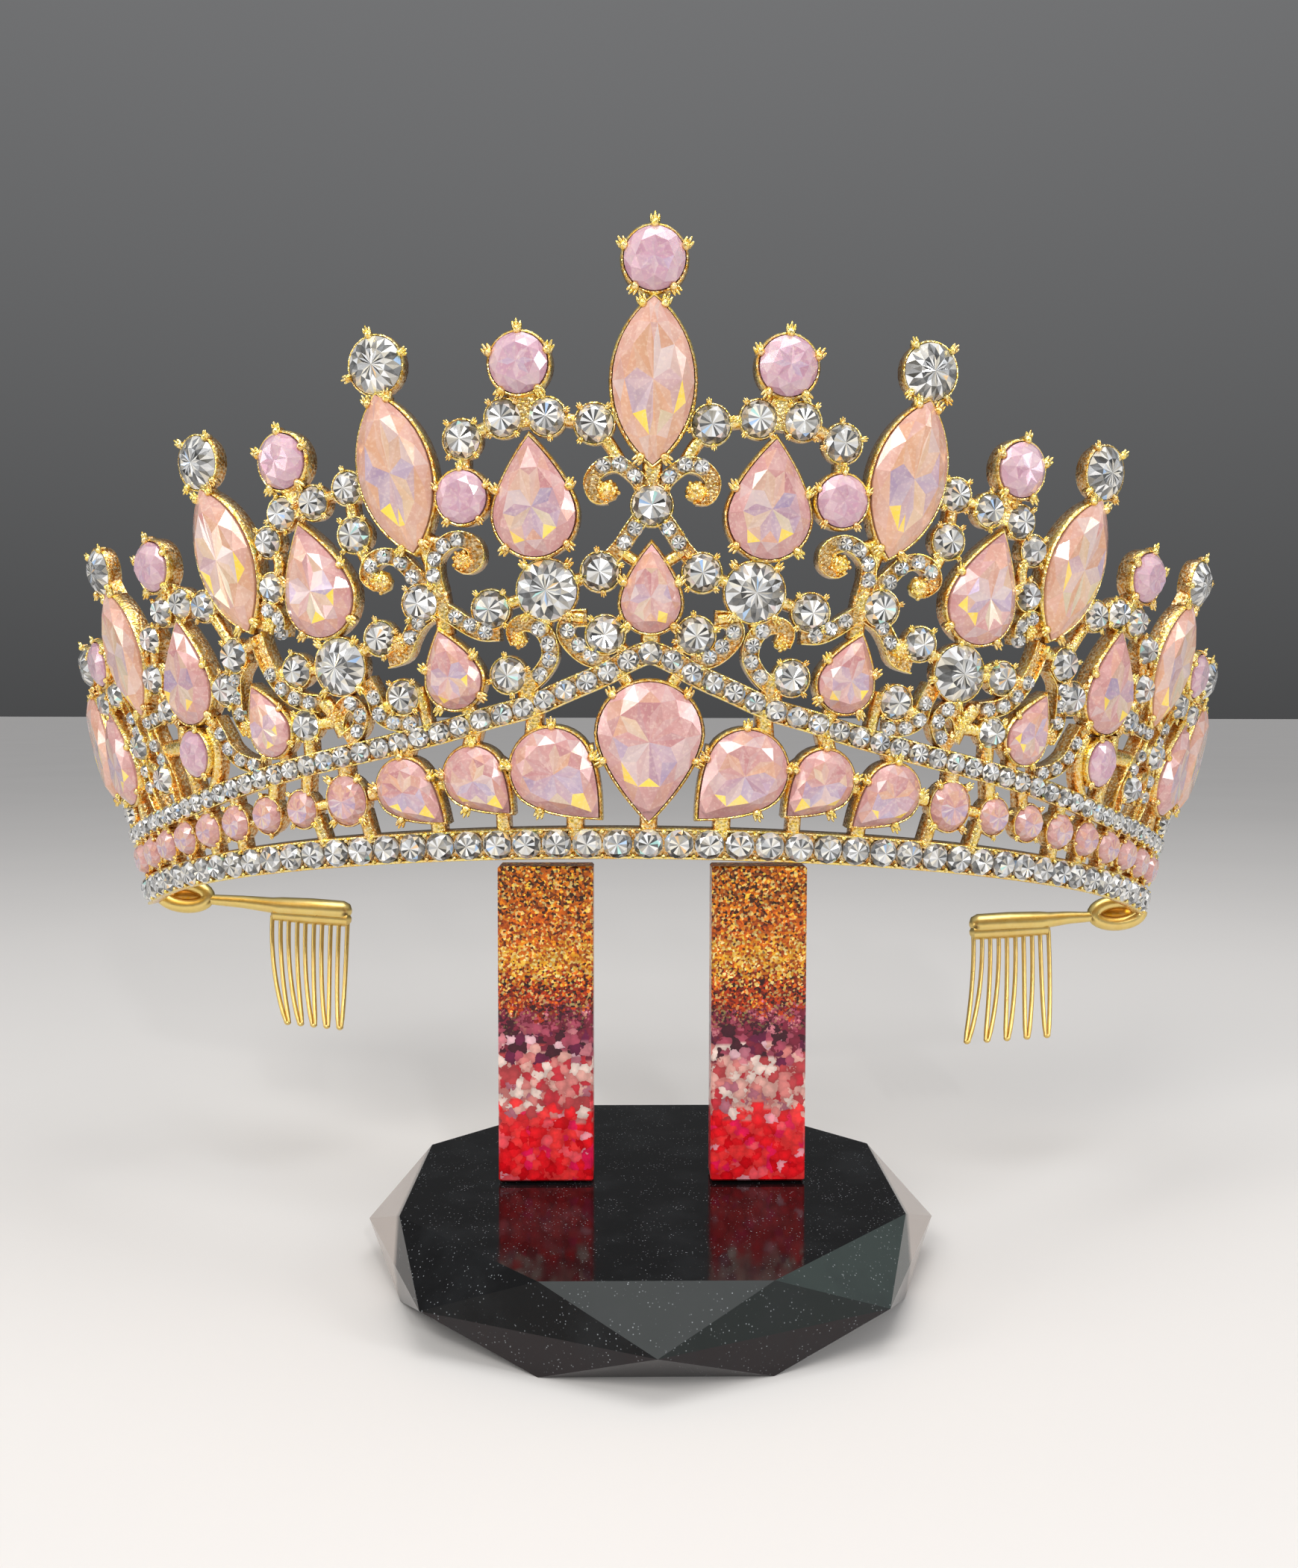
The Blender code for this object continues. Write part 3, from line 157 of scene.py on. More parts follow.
# Raised scrolls: width, then the middle line's points
SCROLLS = [
    (2.0, [(0.9, 45.0), (1.7, 46.8), (3.7, 48.5), (5.6, 48.2), (6.8, 46.6), (6.3, 44.8), (5.0, 44.7)]),
    (2.1, [(1.2, 42.0), (2.4, 40.2), (3.4, 38.5), (4.8, 36.8)]),
    (2.2, [(7.6, 29.4), (9.4, 29.2), (10.2, 27.7), (9.3, 25.9), (7.4, 24.3), (5.0, 23.8)]),
    (2.2, [(15.9, 26.5), (16.3, 28.1), (15.1, 29.0), (13.4, 28.4), (12.3, 26.8), (12.1, 24.5),
           (13.2, 22.5), (14.8, 21.0)]),
    (2.1, [(22.6, 37.2), (21.6, 36.6), (20.5, 37.4), (20.7, 39.1), (22.4, 40.1), (24.2, 39.6),
           (25.6, 38.0), (25.8, 35.8), (25.4, 33.4)]),
    (2.1, [(33.2, 35.4), (34.4, 36.6), (33.8, 38.2), (32.2, 38.9), (30.2, 38.3), (28.6, 36.5),
           (27.0, 34.5), (25.5, 32.2)]),
    (2.2, [(25.6, 31.6), (23.8, 30.3), (22.0, 28.9), (20.2, 28.0), (18.2, 27.9)]),
    (2.2, [(26.2, 31.2), (28.2, 29.9), (29.6, 28.0), (30.7, 26.0), (33.0, 25.4)]),
    (2.2, [(36.3, 23.0), (35.3, 20.6), (34.8, 18.4), (33.0, 17.1), (30.4, 16.7)]),
    (2.1, [(41.2, 17.4), (40.4, 19.4), (38.8, 20.2), (37.5, 18.7), (38.2, 16.5), (40.4, 15.2)]),
    (2.4, [(52.0, 31.4), (51.4, 28.4), (50.2, 25.4), (48.4, 22.8), (46.4, 21.4), (43.4, 20.6)]),
    (2.2, [(51.2, 32.0), (50.6, 33.8), (49.0, 34.2), (47.9, 32.6), (48.3, 30.6)]),
    (2.2, [(54.4, 28.6), (56.4, 26.6), (57.1, 23.8), (57.3, 20.8), (56.2, 18.4)]),
    (2.2, [(62.6, 21.0), (61.4, 18.6), (60.4, 16.3), (58.2, 14.4), (55.0, 13.2)]),
    (2.3, [(71.4, 24.6), (75.0, 23.9), (79.2, 23.8)]),
    (2.3, [(78.6, 26.2), (78.0, 21.8), (76.6, 18.2), (75.0, 14.0), (74.6, 10.4)]),
    (2.2, [(86.0, 28.6), (83.6, 25.0), (82.6, 20.8), (83.4, 16.4), (82.6, 12.6), (81.0, 10.0)]),
    (2.4, [(98.6, 17.0), (97.0, 13.4), (96.4, 9.8)]),
]

# Plain struts: width, then the middle line's points
STRUTS = [
    (1.8, [(6.4, 53.6), (11.6, 54.6)]), (1.8, [(16.5, 54.7), (21.3, 52.5)]),
    (1.8, [(21.3, 52.5), (21.6, 46.0)]), (1.8, [(6.4, 53.6), (4.4, 50.4), (3.5, 48.6)]),
    (1.6, [(3.6, 37.8), (1.4, 36.2)]), (1.7, [(5.9, 35.2), (12.2, 33.0)]),
    (1.7, [(12.2, 33.0), (19.1, 30.9)]), (1.7, [(12.0, 30.0), (8.0, 29.4)]),
    (1.8, [(12.2, 30.0), (12.8, 27.8)]), (2.0, [(5.4, 27.2), (2.6, 24.4)]),
    (3.0, [(14.9, 22.8), (15.2, 18.4)]), (2.0, [(17.3, 22.3), (15.0, 21.2)]),
    (2.2, [(23.3, 19.4), (22.4, 16.4)]), (2.3, [(26.9, 39.8), (25.9, 36.0), (25.3, 32.0), (25.2, 28.0)]),
    (1.8, [(26.8, 40.4), (24.4, 39.6)]), (1.8, [(19.1, 30.9), (20.2, 28.0)]),
    (2.4, [(33.6, 28.3), (31.0, 26.8)]), (1.8, [(33.6, 28.3), (39.7, 25.2)]),
    (1.7, [(29.2, 21.4), (28.8, 18.8), (28.4, 15.6)]), (2.0, [(31.3, 20.3), (34.8, 18.8)]),
    (2.4, [(43.2, 20.8), (41.6, 18.6), (40.6, 16.0)]), (2.0, [(39.7, 25.2), (46.3, 25.5)]),
    (2.0, [(46.3, 25.5), (50.0, 25.6)]), (2.0, [(46.1, 17.9), (41.2, 18.0)]),
    (2.0, [(46.1, 17.9), (46.6, 12.8)]), (2.0, [(50.7, 15.4), (50.9, 12.4)]),
    (2.0, [(50.0, 20.0), (46.1, 17.9)]),
    (1.8, [(47.8, 43.2), (46.9, 40.1), (48.2, 37.1)]), (2.0, [(48.2, 37.1), (49.4, 33.6)]),
    (1.8, [(35.8, 48.2), (35.6, 42.1), (34.4, 38.2)]), (1.6, [(35.8, 48.2), (40.6, 47.1)]),
    (1.8, [(40.6, 47.1), (45.2, 46.5)]),
    (2.0, [(56.4, 29.2), (52.4, 30.6)]), (1.8, [(60.3, 37.0), (58.3, 33.4), (56.6, 29.8)]),
    (2.0, [(59.0, 24.9), (56.4, 29.2)]), (2.0, [(59.0, 24.9), (57.0, 24.0)]),
    (1.8, [(64.2, 20.2), (63.4, 17.2), (64.4, 13.8), (66.6, 11.0)]),
    (2.0, [(66.4, 22.4), (62.2, 20.4)]), (2.4, [(70.4, 21.6), (71.0, 17.4), (70.2, 13.2), (70.4, 10.2)]),
    (2.6, [(70.6, 18.6), (77.0, 19.0)]), (2.0, [(72.4, 24.4), (70.6, 21.6)]),
    (2.0, [(72.9, 35.2), (74.3, 29.6), (72.4, 24.4)]), (2.0, [(81.4, 31.4), (87.3, 30.4)]),
    (2.0, [(87.3, 30.4), (90.6, 34.4)]), (2.0, [(94.2, 30.8), (90.6, 34.4)]),
    (2.0, [(94.2, 30.8), (99.0, 27.0)]), (2.2, [(83.0, 21.1), (78.0, 21.8)]),
    (2.2, [(83.0, 18.4), (77.6, 14.9)]), (2.0, [(77.6, 14.9), (75.6, 14.9)]),
    (2.2, [(89.8, 14.6), (90.0, 9.4)]), (2.2, [(84.0, 15.4), (89.6, 14.6)]),
    (2.0, [(94.6, 12.4), (97.0, 13.4)]), (2.0, [(94.6, 12.4), (94.8, 9.4)]),
    (2.0, [(94.4, 16.4), (98.6, 17.6)]),
    (2.4, [(9.6, 5.4), (9.6, 1.0)]), (2.0, [(19.2, 5.6), (19.2, 1.0)]), (2.2, [(28.4, 5.0), (28.2, 1.0)]),
    (2.0, [(39.2, 5.4), (38.4, 1.0)]), (1.9, [(46.9, 5.2), (46.0, 1.0)]),
    (2.4, [(14.8, 13.6), (14.2, 18.0)]), (2.4, [(23.4, 12.0), (22.0, 16.0)]),
    (2.4, [(32.8, 10.6), (31.4, 14.2)]), (2.4, [(41.3, 9.4), (41.2, 13.0)]),
    (2.0, [(48.2, 8.0), (47.2, 12.2)]), (2.0, [(54.2, 8.2), (53.2, 11.6)]),
    (2.0, [(61.9, 1.4), (61.9, 10.6)]), (1.6, [(19.8, 11.4), (16.6, 9.0)]),
    (1.6, [(29.2, 8.4), (25.4, 8.0)]), (2.0, [(37.8, 7.6), (34.6, 8.0)]),
    (1.8, [(2.4, 20.4), (3.8, 22.8)]), (1.6, [(7.0, 12.4), (8.4, 12.2)]),
    (1.6, [(41.3, 7.1), (48.8, 6.5)]),
    (4.4, [(14.4, 58.4), (14.0, 53.4)]), (4.2, [(43.7, 50.4), (42.9, 45.6)]),
    (4.2, [(68.3, 42.0), (67.2, 37.4)]), (3.4, [(90.6, 33.4), (91.0, 29.2)]),
    (3.4, [(81.0, 43.4), (83.4, 48.7)]), (3.2, [(100.3, 33.0), (100.2, 38.9)]),
    (2.0, [(68.4, 1.4), (68.4, 9.8)]), (2.0, [(74.9, 1.4), (74.9, 9.4)]),
    (2.0, [(81.3, 1.4), (81.3, 9.2)]), (2.0, [(87.7, 1.4), (87.7, 9.0)]),
    (2.0, [(94.1, 1.4), (94.1, 9.0)]),
]
CENTRE_STRUTS = [
    (2.4, [(0.0, 4.4), (0.0, 1.0)]), (2.6, [(0.0, 28.4), (0.0, 24.6)]), (2.6, [(0.0, 50.0), (0.0, 43.5)]),
]
# Granulated knobs at the ends of the scrolls: s, h, radius
KNOBS = [
    (5.0, 45.3, 1.5), (15.9, 26.8, 1.1), (22.3, 37.4, 1.4), (32.8, 35.6, 1.6), (31.2, 27.4, 1.5),
    (49.6, 32.4, 1.3), (56.3, 18.9, 1.3), (41.4, 18.6, 1.3),
]

# Combs, in the tiara's own frame, for the side with positive x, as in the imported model
COMB_DEPTH = 47.45
COMB_SLOPE = 0.085
COMB_TEETH = 5
COMB_TOOTH_PITCH = 2.8
COMB_TOOTH_LENGTH = 16.2
COMB_LUG_WIDTH = 10.0
# Sideways place of the lug's and of the bar's outer end, and how far the comb sits higher
COMB_RIGHT_PLACE = (84.2, 67.7, 2.6)
COMB_LEFT_PLACE = (82.6, 62.9, 4.0)
# How far the tips of the outermost tooth lean inwards, and how much more each next tooth's tip does
COMB_RIGHT_SWEEP = (0.7, 0.50)
COMB_LEFT_SWEEP = (3.2, -0.65)


# Surface

def arc_table():
    """Arc length of the band against its ellipse angle."""
    phi = np.linspace(0.0, 1.5, 3001)
    step = np.hypot(BAND_HALF_WIDTH * np.cos(phi), BAND_HALF_DEPTH * np.sin(phi))
    s = np.concatenate([[0.0], np.cumsum((step[1:] + step[:-1]) / 2 * (phi[1] - phi[0]))])
    return phi, s


PHI_TABLE, S_TABLE = arc_table()


def phi_at(s):
    s = np.asarray(s, float)
    return np.copysign(np.interp(np.abs(s), S_TABLE, PHI_TABLE), s)


def stretch(s, h):
    """How much wider the surface is at height h than at the band."""
    phi = phi_at(s)
    a, b = BAND_HALF_WIDTH, BAND_HALF_DEPTH
    bend = a * b / (a * a * np.cos(phi) ** 2 + b * b * np.sin(phi) ** 2) ** 1.5
    return 1.0 + (h - BAND_DROP * phi * phi) * math.sin(FLARE) * bend


def surface_axes(s):
    """Sideways, upward and outward unit vectors of the surface, one row for each s."""
    phi = np.atleast_1d(phi_at(s))
    out = np.stack([BAND_HALF_DEPTH * np.sin(phi), -BAND_HALF_WIDTH * np.cos(phi), 0.0 * phi], axis=1)
    out /= np.linalg.norm(out, axis=1)[:, None]
    side = np.stack([-out[:, 1], out[:, 0], 0.0 * phi], axis=1)
    rise = np.array([0.0, 0.0, 1.0])
    up = out * math.sin(FLARE) + rise * math.cos(FLARE)
    normal = out * math.cos(FLARE) - rise * math.sin(FLARE)
    return side, up, normal


def on_surface(points):
    """Points (s, h, t) of the flat drawing in the tiara's frame."""
    points = np.asarray(points, float)
    s, h, t = points[:, 0], points[:, 1], points[:, 2]
    phi = phi_at(s)
    _, up, normal = surface_axes(s)
    foot = np.stack([BAND_HALF_WIDTH * np.sin(phi), BAND_HALF_DEPTH * (1.0 - np.cos(phi)), 0.0 * phi], axis=1)
    return foot + up * (h - BAND_DROP * phi * phi)[:, None] + normal * t[:, None]


def tiara_placement():
    lift = BAND_ABOVE_BASE + BASE_HEIGHT
    turn = (Matrix.Rotation(TIARA_YAW, 4, "Z") @ Matrix.Rotation(TIARA_ROLL, 4, "Y")
            @ Matrix.Rotation(-TIARA_BACK_TILT, 4, "X"))
    return Matrix.Translation((TIARA_OFFSET[0], TIARA_OFFSET[1], lift)) @ turn


PLACEMENT = np.array(tiara_placement())


# Outlines, in millimetres, tip towards +y, counter-clockwise

def circle(sides, turn=0.0):
    """Cosine and sine of evenly spaced directions, the first of them at turn."""
    angles = [2 * math.pi * i / sides + turn for i in range(sides)]
    return [(math.cos(a), math.sin(a)) for a in angles]


def oval_outline(width, height, sides, turn=0.0):
    return [(width / 2 * c, height / 2 * s) for c, s in circle(sides, turn)]


def marquise_outline(width, height, sides):
    """A lens with pointed tips. Corners are spread evenly by angle, so that facets stay alike."""
    radius = ((height / 2) ** 2 + (width / 2) ** 2) / width
    points = []
    for c, s in circle(sides):
        y = height / 2 * s
        x = math.sqrt(max(radius ** 2 - y ** 2, 0.0)) - (radius - width / 2)
        points.append((math.copysign(max(x, 0.0), c), y))
    return points


PEAR_FULLNESS = 1.6           # the higher, the longer a pear stays wide before it draws in


def pear_outline(width, height, sides):
    """Round at the foot, drawn in to a tip."""
    r = width / 2
    middle = -height / 2 + r
    rest = height / 2 - middle
    points = []
    for c, s in circle(sides):
        if s <= 0.0:
            points.append((r * c, middle + r * s))
        else:
            u = math.asin(s) / (math.pi / 2)
            points.append((math.copysign(r * (1.0 - u ** PEAR_FULLNESS), c), middle + rest * u))
    return points


def stone_outline(shape, width, height, sides):
    if shape in ("round", "oval"):
        return oval_outline(width, height, sides)
    if shape == "marquise":
        return marquise_outline(width, height, sides)
    return pear_outline(width, height, sides)


MITRE_LIMIT = 0.62            # keeps an outline's pointed tips from running far out when it grows


def grown(outline, distance):
    """The outline moved outwards by distance."""
    points = np.asarray(outline, float)
    before = points - np.roll(points, 1, axis=0)
    after = np.roll(points, -1, axis=0) - points
    before /= np.maximum(np.linalg.norm(before, axis=1), 1e-9)[:, None]
    after /= np.maximum(np.linalg.norm(after, axis=1), 1e-9)[:, None]
    n1 = np.stack([before[:, 1], -before[:, 0]], axis=1)
    n2 = np.stack([after[:, 1], -after[:, 0]], axis=1)
    middle = n1 + n2
    middle /= np.maximum(np.linalg.norm(middle, axis=1), 1e-9)[:, None]
    reach = distance / np.maximum((middle * n1).sum(axis=1), MITRE_LIMIT)
    return points + middle * reach[:, None]


class Seat:
    """Where a stone sits: centre, lean from the surface's upward line, and height from foot to tip."""

    def __init__(self, tip, foot):
        self.s = (tip[0] + foot[0]) / 2
        self.h = (tip[1] + foot[1]) / 2
        dx = (tip[0] - foot[0]) * float(stretch(self.s, self.h))
        dy = tip[1] - foot[1]
        self.lean = math.atan2(dx, dy)
        self.height = math.hypot(dx, dy)

    def flat(self, points, t):
        """Points of the stone's own plane on the flat drawing, at level t."""
        points = np.asarray(points, float)
        ca, sa = math.cos(self.lean), math.sin(self.lean)
        along = points[:, 0] * ca + points[:, 1] * sa
        h = self.h - points[:, 0] * sa + points[:, 1] * ca
        s = self.s + along / stretch(self.s, h)
        return np.stack([s, h, np.full(len(points), float(t))], axis=1)

    def plane(self, points, t=0.0):
        """Points (x, y, z) of the stone's own flat plane in the tiara's frame, from level t."""
        points = np.asarray(points, float)
        side, up, normal = surface_axes(self.s)
        side, up, normal = side[0], up[0], normal[0]
        axis_y = side * math.sin(self.lean) + up * math.cos(self.lean)
        axis_x = side * math.cos(self.lean) - up * math.sin(self.lean)
        centre = on_surface([(self.s, self.h, t)])[0]
        return centre + points[:, :1] * axis_x + points[:, 1:2] * axis_y + points[:, 2:3] * normal


def all_cut_stones():
    for name, shape, tip, foot, width in CUT_STONES:
        yield name, shape, tip, foot, width
    for name, shape, tip, foot, width in PAIRED_CUT_STONES:
        yield name + "_right", shape, tip, foot, width
        yield name + "_left", shape, (-tip[0], tip[1]), (-foot[0], foot[1]), width


def mirrored_stones(entries):
    for s, h, width, height in entries:
        yield s, h, width, height
        yield -s, h, width, height


def smooth_line(points, parts):
    """Points along a soft curve through the given points."""
    if len(points) < 3:
        (x0, y0), (x1, y1) = points[0], points[-1]
        return [(x0 + (x1 - x0) * j / parts, y0 + (y1 - y0) * j / parts) for j in range(parts + 1)]
    line = []
    for i in range(len(points) - 1):
        p0 = points[max(i - 1, 0)]
        p1 = points[i]
        p2 = points[i + 1]
        p3 = points[min(i + 2, len(points) - 1)]
        for j in range(parts):
            u = j / parts
            line.append(tuple(0.5 * (2 * p1[k] + (p2[k] - p0[k]) * u
                                     + (2 * p0[k] - 5 * p1[k] + 4 * p2[k] - p3[k]) * u * u
                                     + (3 * p1[k] - p0[k] - 3 * p2[k] + p3[k]) * u ** 3) for k in (0, 1)))
    line.append(points[-1])
    return line


# Meshes

def placed(name, data):
    """A new object in the scene that shows this data."""
    obj = bpy.data.objects.new(name, data)
    bpy.context.scene.collection.objects.link(obj)
    return obj


class Build:
    """Vertices in the tiara's frame, each with a value of painted shade by depth, and faces with a colour and
    a tilt each.

    A facet's tilt says how far the mirror behind it leans away from the polished surface.
    """

    def __init__(self, fade=0.0, seed=0):
        self.verts = []
        self.levels = []
        self.faces = []
        self.colours = []
        self.tilts = []
        self.count = 0
        self.fade = fade
        self.seed = seed

    def add(self, verts, faces, colours=None, levels=None, tilts=None):
        verts = np.asarray(verts, float)
        base = self.count
        self.verts.append(verts)
        self.levels.append(np.asarray(levels, float) if levels is not None else np.ones(len(verts)))
        self.faces.extend(tuple(base + i for i in face) for face in faces)
        self.colours.extend(colours if colours is not None else [(1.0, 1.0, 1.0)] * len(faces))
        self.tilts.extend(tilts if tilts is not None else [0.0] * len(faces))
        self.count += len(verts)

    def paint(self, mesh):
        """Facet colours that fade from corner to corner, and which way the mirror behind each facet faces."""
        rng = np.random.default_rng(self.seed)
        sizes = [len(face) for face in self.faces]
        corners = np.ones((sum(sizes), 4))
        corners[:, :3] = np.repeat(np.array(self.colours), sizes, axis=0)
        corners[:, :3] *= 1.0 + self.fade * (rng.random(len(corners))[:, None] - 0.5)
        colour = mesh.attributes.new("facet", "FLOAT_COLOR", "CORNER")
        colour.data.foreach_set("color", np.clip(corners, 0.0, 1.0).ravel())
        normals = np.empty(3 * len(self.faces))
        mesh.polygons.foreach_get("normal", normals)
        normals = normals.reshape(-1, 3)
        across = rng.normal(size=normals.shape)
        across -= normals * (across * normals).sum(axis=1)[:, None]
        across /= np.linalg.norm(across, axis=1)[:, None]
        under = normals + across * np.array(self.tilts)[:, None]
        under /= np.linalg.norm(under, axis=1)[:, None]
        mirror = mesh.attributes.new("under", "FLOAT_VECTOR", "FACE")
        mirror.data.foreach_set("vector", under.ravel())

    def make(self, name, mat, slot, replaces=(), smooth_angle=None):
        verts = np.concatenate(self.verts) @ PLACEMENT[:3, :3].T + PLACEMENT[:3, 3]
        mesh = bpy.data.meshes.new(name)
        mesh.from_pydata((verts * MM).tolist(), [], self.faces)
        mesh.update()
        if smooth_angle is None:
            self.paint(mesh)
        else:
            level = mesh.attributes.new("level", "FLOAT", "POINT")
            level.data.foreach_set("value", np.concatenate(self.levels))
            mesh.shade_smooth()
            mesh.set_sharp_from_angle(angle=math.radians(smooth_angle))
        mesh.materials.append(mat)
        obj = placed(name, mesh)
        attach(obj, "root")
        if replaces:
            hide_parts(*replaces)


def ring_faces(rows, count):
    """Quads between successive rings of the same number of points."""
    faces = []
    for r in range(rows - 1):
        for i in range(count):
            a = r * count + i
            b = r * count + (i + 1) % count
            faces.append((a, b, b + count, a + count))
    return faces


# Brightness of the plating by level, as painted shade: bright flat back, walls painted a deep amber as the
# shade of the recesses, bright front
DEPTH_LEVELS = (T_BACK, T_BACK + 0.3, 0.0, 1.0)
DEPTH_SHADE_VALUES = (0.85, 0.15, 0.35, 1.0)


def depth_shade(t):
    return np.interp(np.asarray(t, float), DEPTH_LEVELS, DEPTH_SHADE_VALUES)


CHANNEL_PROFILE = [
    (-0.90, T_BACK), (-1.00, T_BACK + 0.25), (-1.00, 0.75), (-0.95, 0.95), (-0.84, 0.98), (-0.78, 0.85),
    (-0.76, 0.40), (0.76, 0.40), (0.78, 0.85), (0.84, 0.98), (0.95, 0.95), (1.00, 0.75),
    (1.00, T_BACK + 0.25), (0.90, T_BACK),
]
ROUND_PROFILE = [
    (-0.80, T_BACK), (-1.00, T_BACK + 0.30), (-1.00, 0.05), (-0.86, 0.50), (-0.50, 0.80), (0.0, 0.90),
    (0.50, 0.80), (0.86, 0.50), (1.00, 0.05), (1.00, T_BACK + 0.30), (0.80, T_BACK),
]


def strip(build, line, half, profile, parts):
    """A raised strip of one section along a line of the flat drawing."""
    line = smooth_line(line, parts)
    rows = []
    for i, (s, h) in enumerate(line):
        a = line[max(i - 1, 0)]
        b = line[min(i + 1, len(line) - 1)]
        k = float(stretch(s, h))
        dx, dy = (b[0] - a[0]) * k, b[1] - a[1]
        size = math.hypot(dx, dy)
        ux, uy = dx / size, dy / size
        rows.append([(s - uy * half * u / k, h + ux * half * u, t) for u, t in profile])
    flat = np.array(rows).reshape(-1, 3)
    count = len(profile)
    faces = [tuple(reversed(f)) for f in ring_faces(len(rows), count)]
    faces.append(tuple(range(count)))
    faces.append(tuple(range(len(flat) - 1, len(flat) - count - 1, -1)))
    build.add(on_surface(flat), faces, levels=depth_shade(flat[:, 2]))


# Cup sections: distance outside the stone's outline, level
CUP_RINGS = [
    (-0.30, T_BACK), (0.26, T_BACK), (0.44, T_BACK + 0.35), (0.50, 0.30), (0.48, 0.95), (0.40, 1.32),
    (0.24, 1.48), (0.10, 1.42), (0.06, 0.10), (-0.60, 0.05),
]
FIXED_RINGS = [
    (-0.50, T_BACK), (0.05, T_BACK), (0.22, T_BACK + 0.35), (0.34, 0.20), (0.34, 0.60), (0.24, 0.86),
    (0.10, 0.88), (0.02, 0.76), (-0.02, 0.20), (-0.50, 0.15),
]


def cup(build, seat, outline, rings):
    rows = [seat.flat(grown(outline, offset), t) for offset, t in rings]
    count = len(outline)
    flat = np.concatenate(rows)
    faces = ring_faces(len(rows), count)
    faces.append(tuple(range(count - 1, -1, -1)))
    faces.append(tuple(range((len(rows) - 1) * count, len(rows) * count)))
    build.add(on_surface(flat), faces, levels=depth_shade(flat[:, 2]))


def ball_mesh(sides, rows):
    """A unit ball as vertices and faces."""
    verts = [(0.0, 0.0, -1.0)]
    for r in range(1, rows):
        a = -math.pi / 2 + math.pi * r / rows
        verts += [(math.cos(a) * c, math.cos(a) * s, math.sin(a)) for c, s in circle(sides)]
    verts.append((0.0, 0.0, 1.0))
    faces = [(0, 1 + (i + 1) % sides, 1 + i) for i in range(sides)]
    faces += [tuple(1 + k for k in face) for face in ring_faces(rows - 1, sides)]
    last = 1 + (rows - 2) * sides
    faces += [(last + i, last + (i + 1) % sides, len(verts) - 1) for i in range(sides)]
    return np.array(verts), faces


BEAD = ball_mesh(8, 6)


def bead(build, s, h, t, radius, flatten=1.0):
    seat = Seat((s, h + 1.0), (s, h - 1.0))
    verts = BEAD[0] * np.array([radius, radius, radius * flatten])
    build.add(seat.plane(verts, t), BEAD[1], levels=np.full(len(verts), 1.0))


def ring_round(middle, across, other, radius, sides):
    """Points of a circle round a middle, in the plane of two unit vectors."""
    return [tuple(middle + (across * c + other * s) * radius) for c, s in circle(sides)]


# A claw of size 1: half sizes of its bead and how far out it sits, then its three points, each with its
# place along the stone's edge, its reach and its rise, and their thickness along their length
PRONG_BALL = (0.42, 0.40, 0.40)
PRONG_BALL_OUT = 0.22
PRONG_POINTS = ((-0.30, 0.92, 0.10), (0.0, 1.12, 0.22), (0.30, 0.92, 0.10))
PRONG_RINGS = ((0.0, 0.19), (0.55, 0.15), (0.85, 0.10))
STEM_RADIUS = 0.36
STEM_OUT = 0.30
STEM_SHADE = 0.6              # painted shade: the plating is painted a little deeper in colour on a claw's stem, below its bead


def prong_mesh():
    """A claw as it stands beside a stone: a bead on the edge and three short points behind it.

    x points away from the stone, y along its edge, z outwards from the surface.
    """
    verts, faces = [], []

    def put(points, loops):
        base = len(verts)
        verts.extend(points)
        faces.extend(tuple(base + i for i in loop) for loop in loops)

    ball = BEAD[0] * np.array(PRONG_BALL) + np.array([PRONG_BALL_OUT, 0.0, 0.0])
    put([tuple(p) for p in ball], BEAD[1])
    for spread, reach, rise in PRONG_POINTS:
        foot = Vector((0.30, spread * 0.80, -0.05))
        tip = Vector((reach, spread * 1.15, rise))
        axis = (tip - foot).normalized()
        across = axis.cross(Vector((0.0, 0.0, 1.0))).normalized()
        points = []
        for along, radius in PRONG_RINGS:
            points += ring_round(foot.lerp(tip, along), across, axis.cross(across), radius, 6)
        points.append(tuple(tip))
        loops = [tuple(reversed(f)) for f in ring_faces(3, 6)]
        loops += [(12 + (i + 1) % 6, 12 + i, 18) for i in range(6)]
        loops.append(tuple(range(6)))
        put(points, loops)
    return np.array(verts), faces


PRONG = prong_mesh()


def claw(build, seat, x, y, direction, t, size):
    """One claw beside the stone's outline point (x, y), turned to point along direction."""
    ca, sa = math.cos(direction), math.sin(direction)
    points = PRONG[0] * size
    turned = np.stack([x + points[:, 0] * ca - points[:, 1] * sa,
                       y + points[:, 0] * sa + points[:, 1] * ca, points[:, 2]], axis=1)
    build.add(seat.plane(turned, t), PRONG[1], levels=np.full(len(turned), 1.0))
    stem = BEAD[0] * np.array([STEM_RADIUS * size, STEM_RADIUS * size, t * 0.5 + 0.4])
    stem += np.array([x + STEM_OUT * size * ca, y + STEM_OUT * size * sa, -t * 0.5])
    build.add(seat.plane(stem, t), BEAD[1], levels=np.full(len(stem), STEM_SHADE))


# Where the claws stand round a stone, in degrees from its sideways line
CLAW_ANGLES = {
    "round": (92, 18, 162, 232, 308),
    "oval": (60, 120, 240, 300),
    "marquise": (64, 116, 244, 296),
    "pear": (30, 150, 222, 318),
}
SIDE_CLAW_LIFT = 0.5          # how far claws beside a stone turn from straight outwards to upwards
LIFT_LIMIT = 110              # claws that point further than this from upwards, in degrees, stay as they are


def lifted(direction, lean):
    """The direction turned towards upwards where it points sideways or up, in the stone's own plane."""
    up = math.pi / 2 + lean
    off = math.atan2(math.sin(direction - up), math.cos(direction - up))
    if abs(off) > math.radians(LIFT_LIMIT):
        return direction
    return up + off * (1.0 - SIDE_CLAW_LIFT)


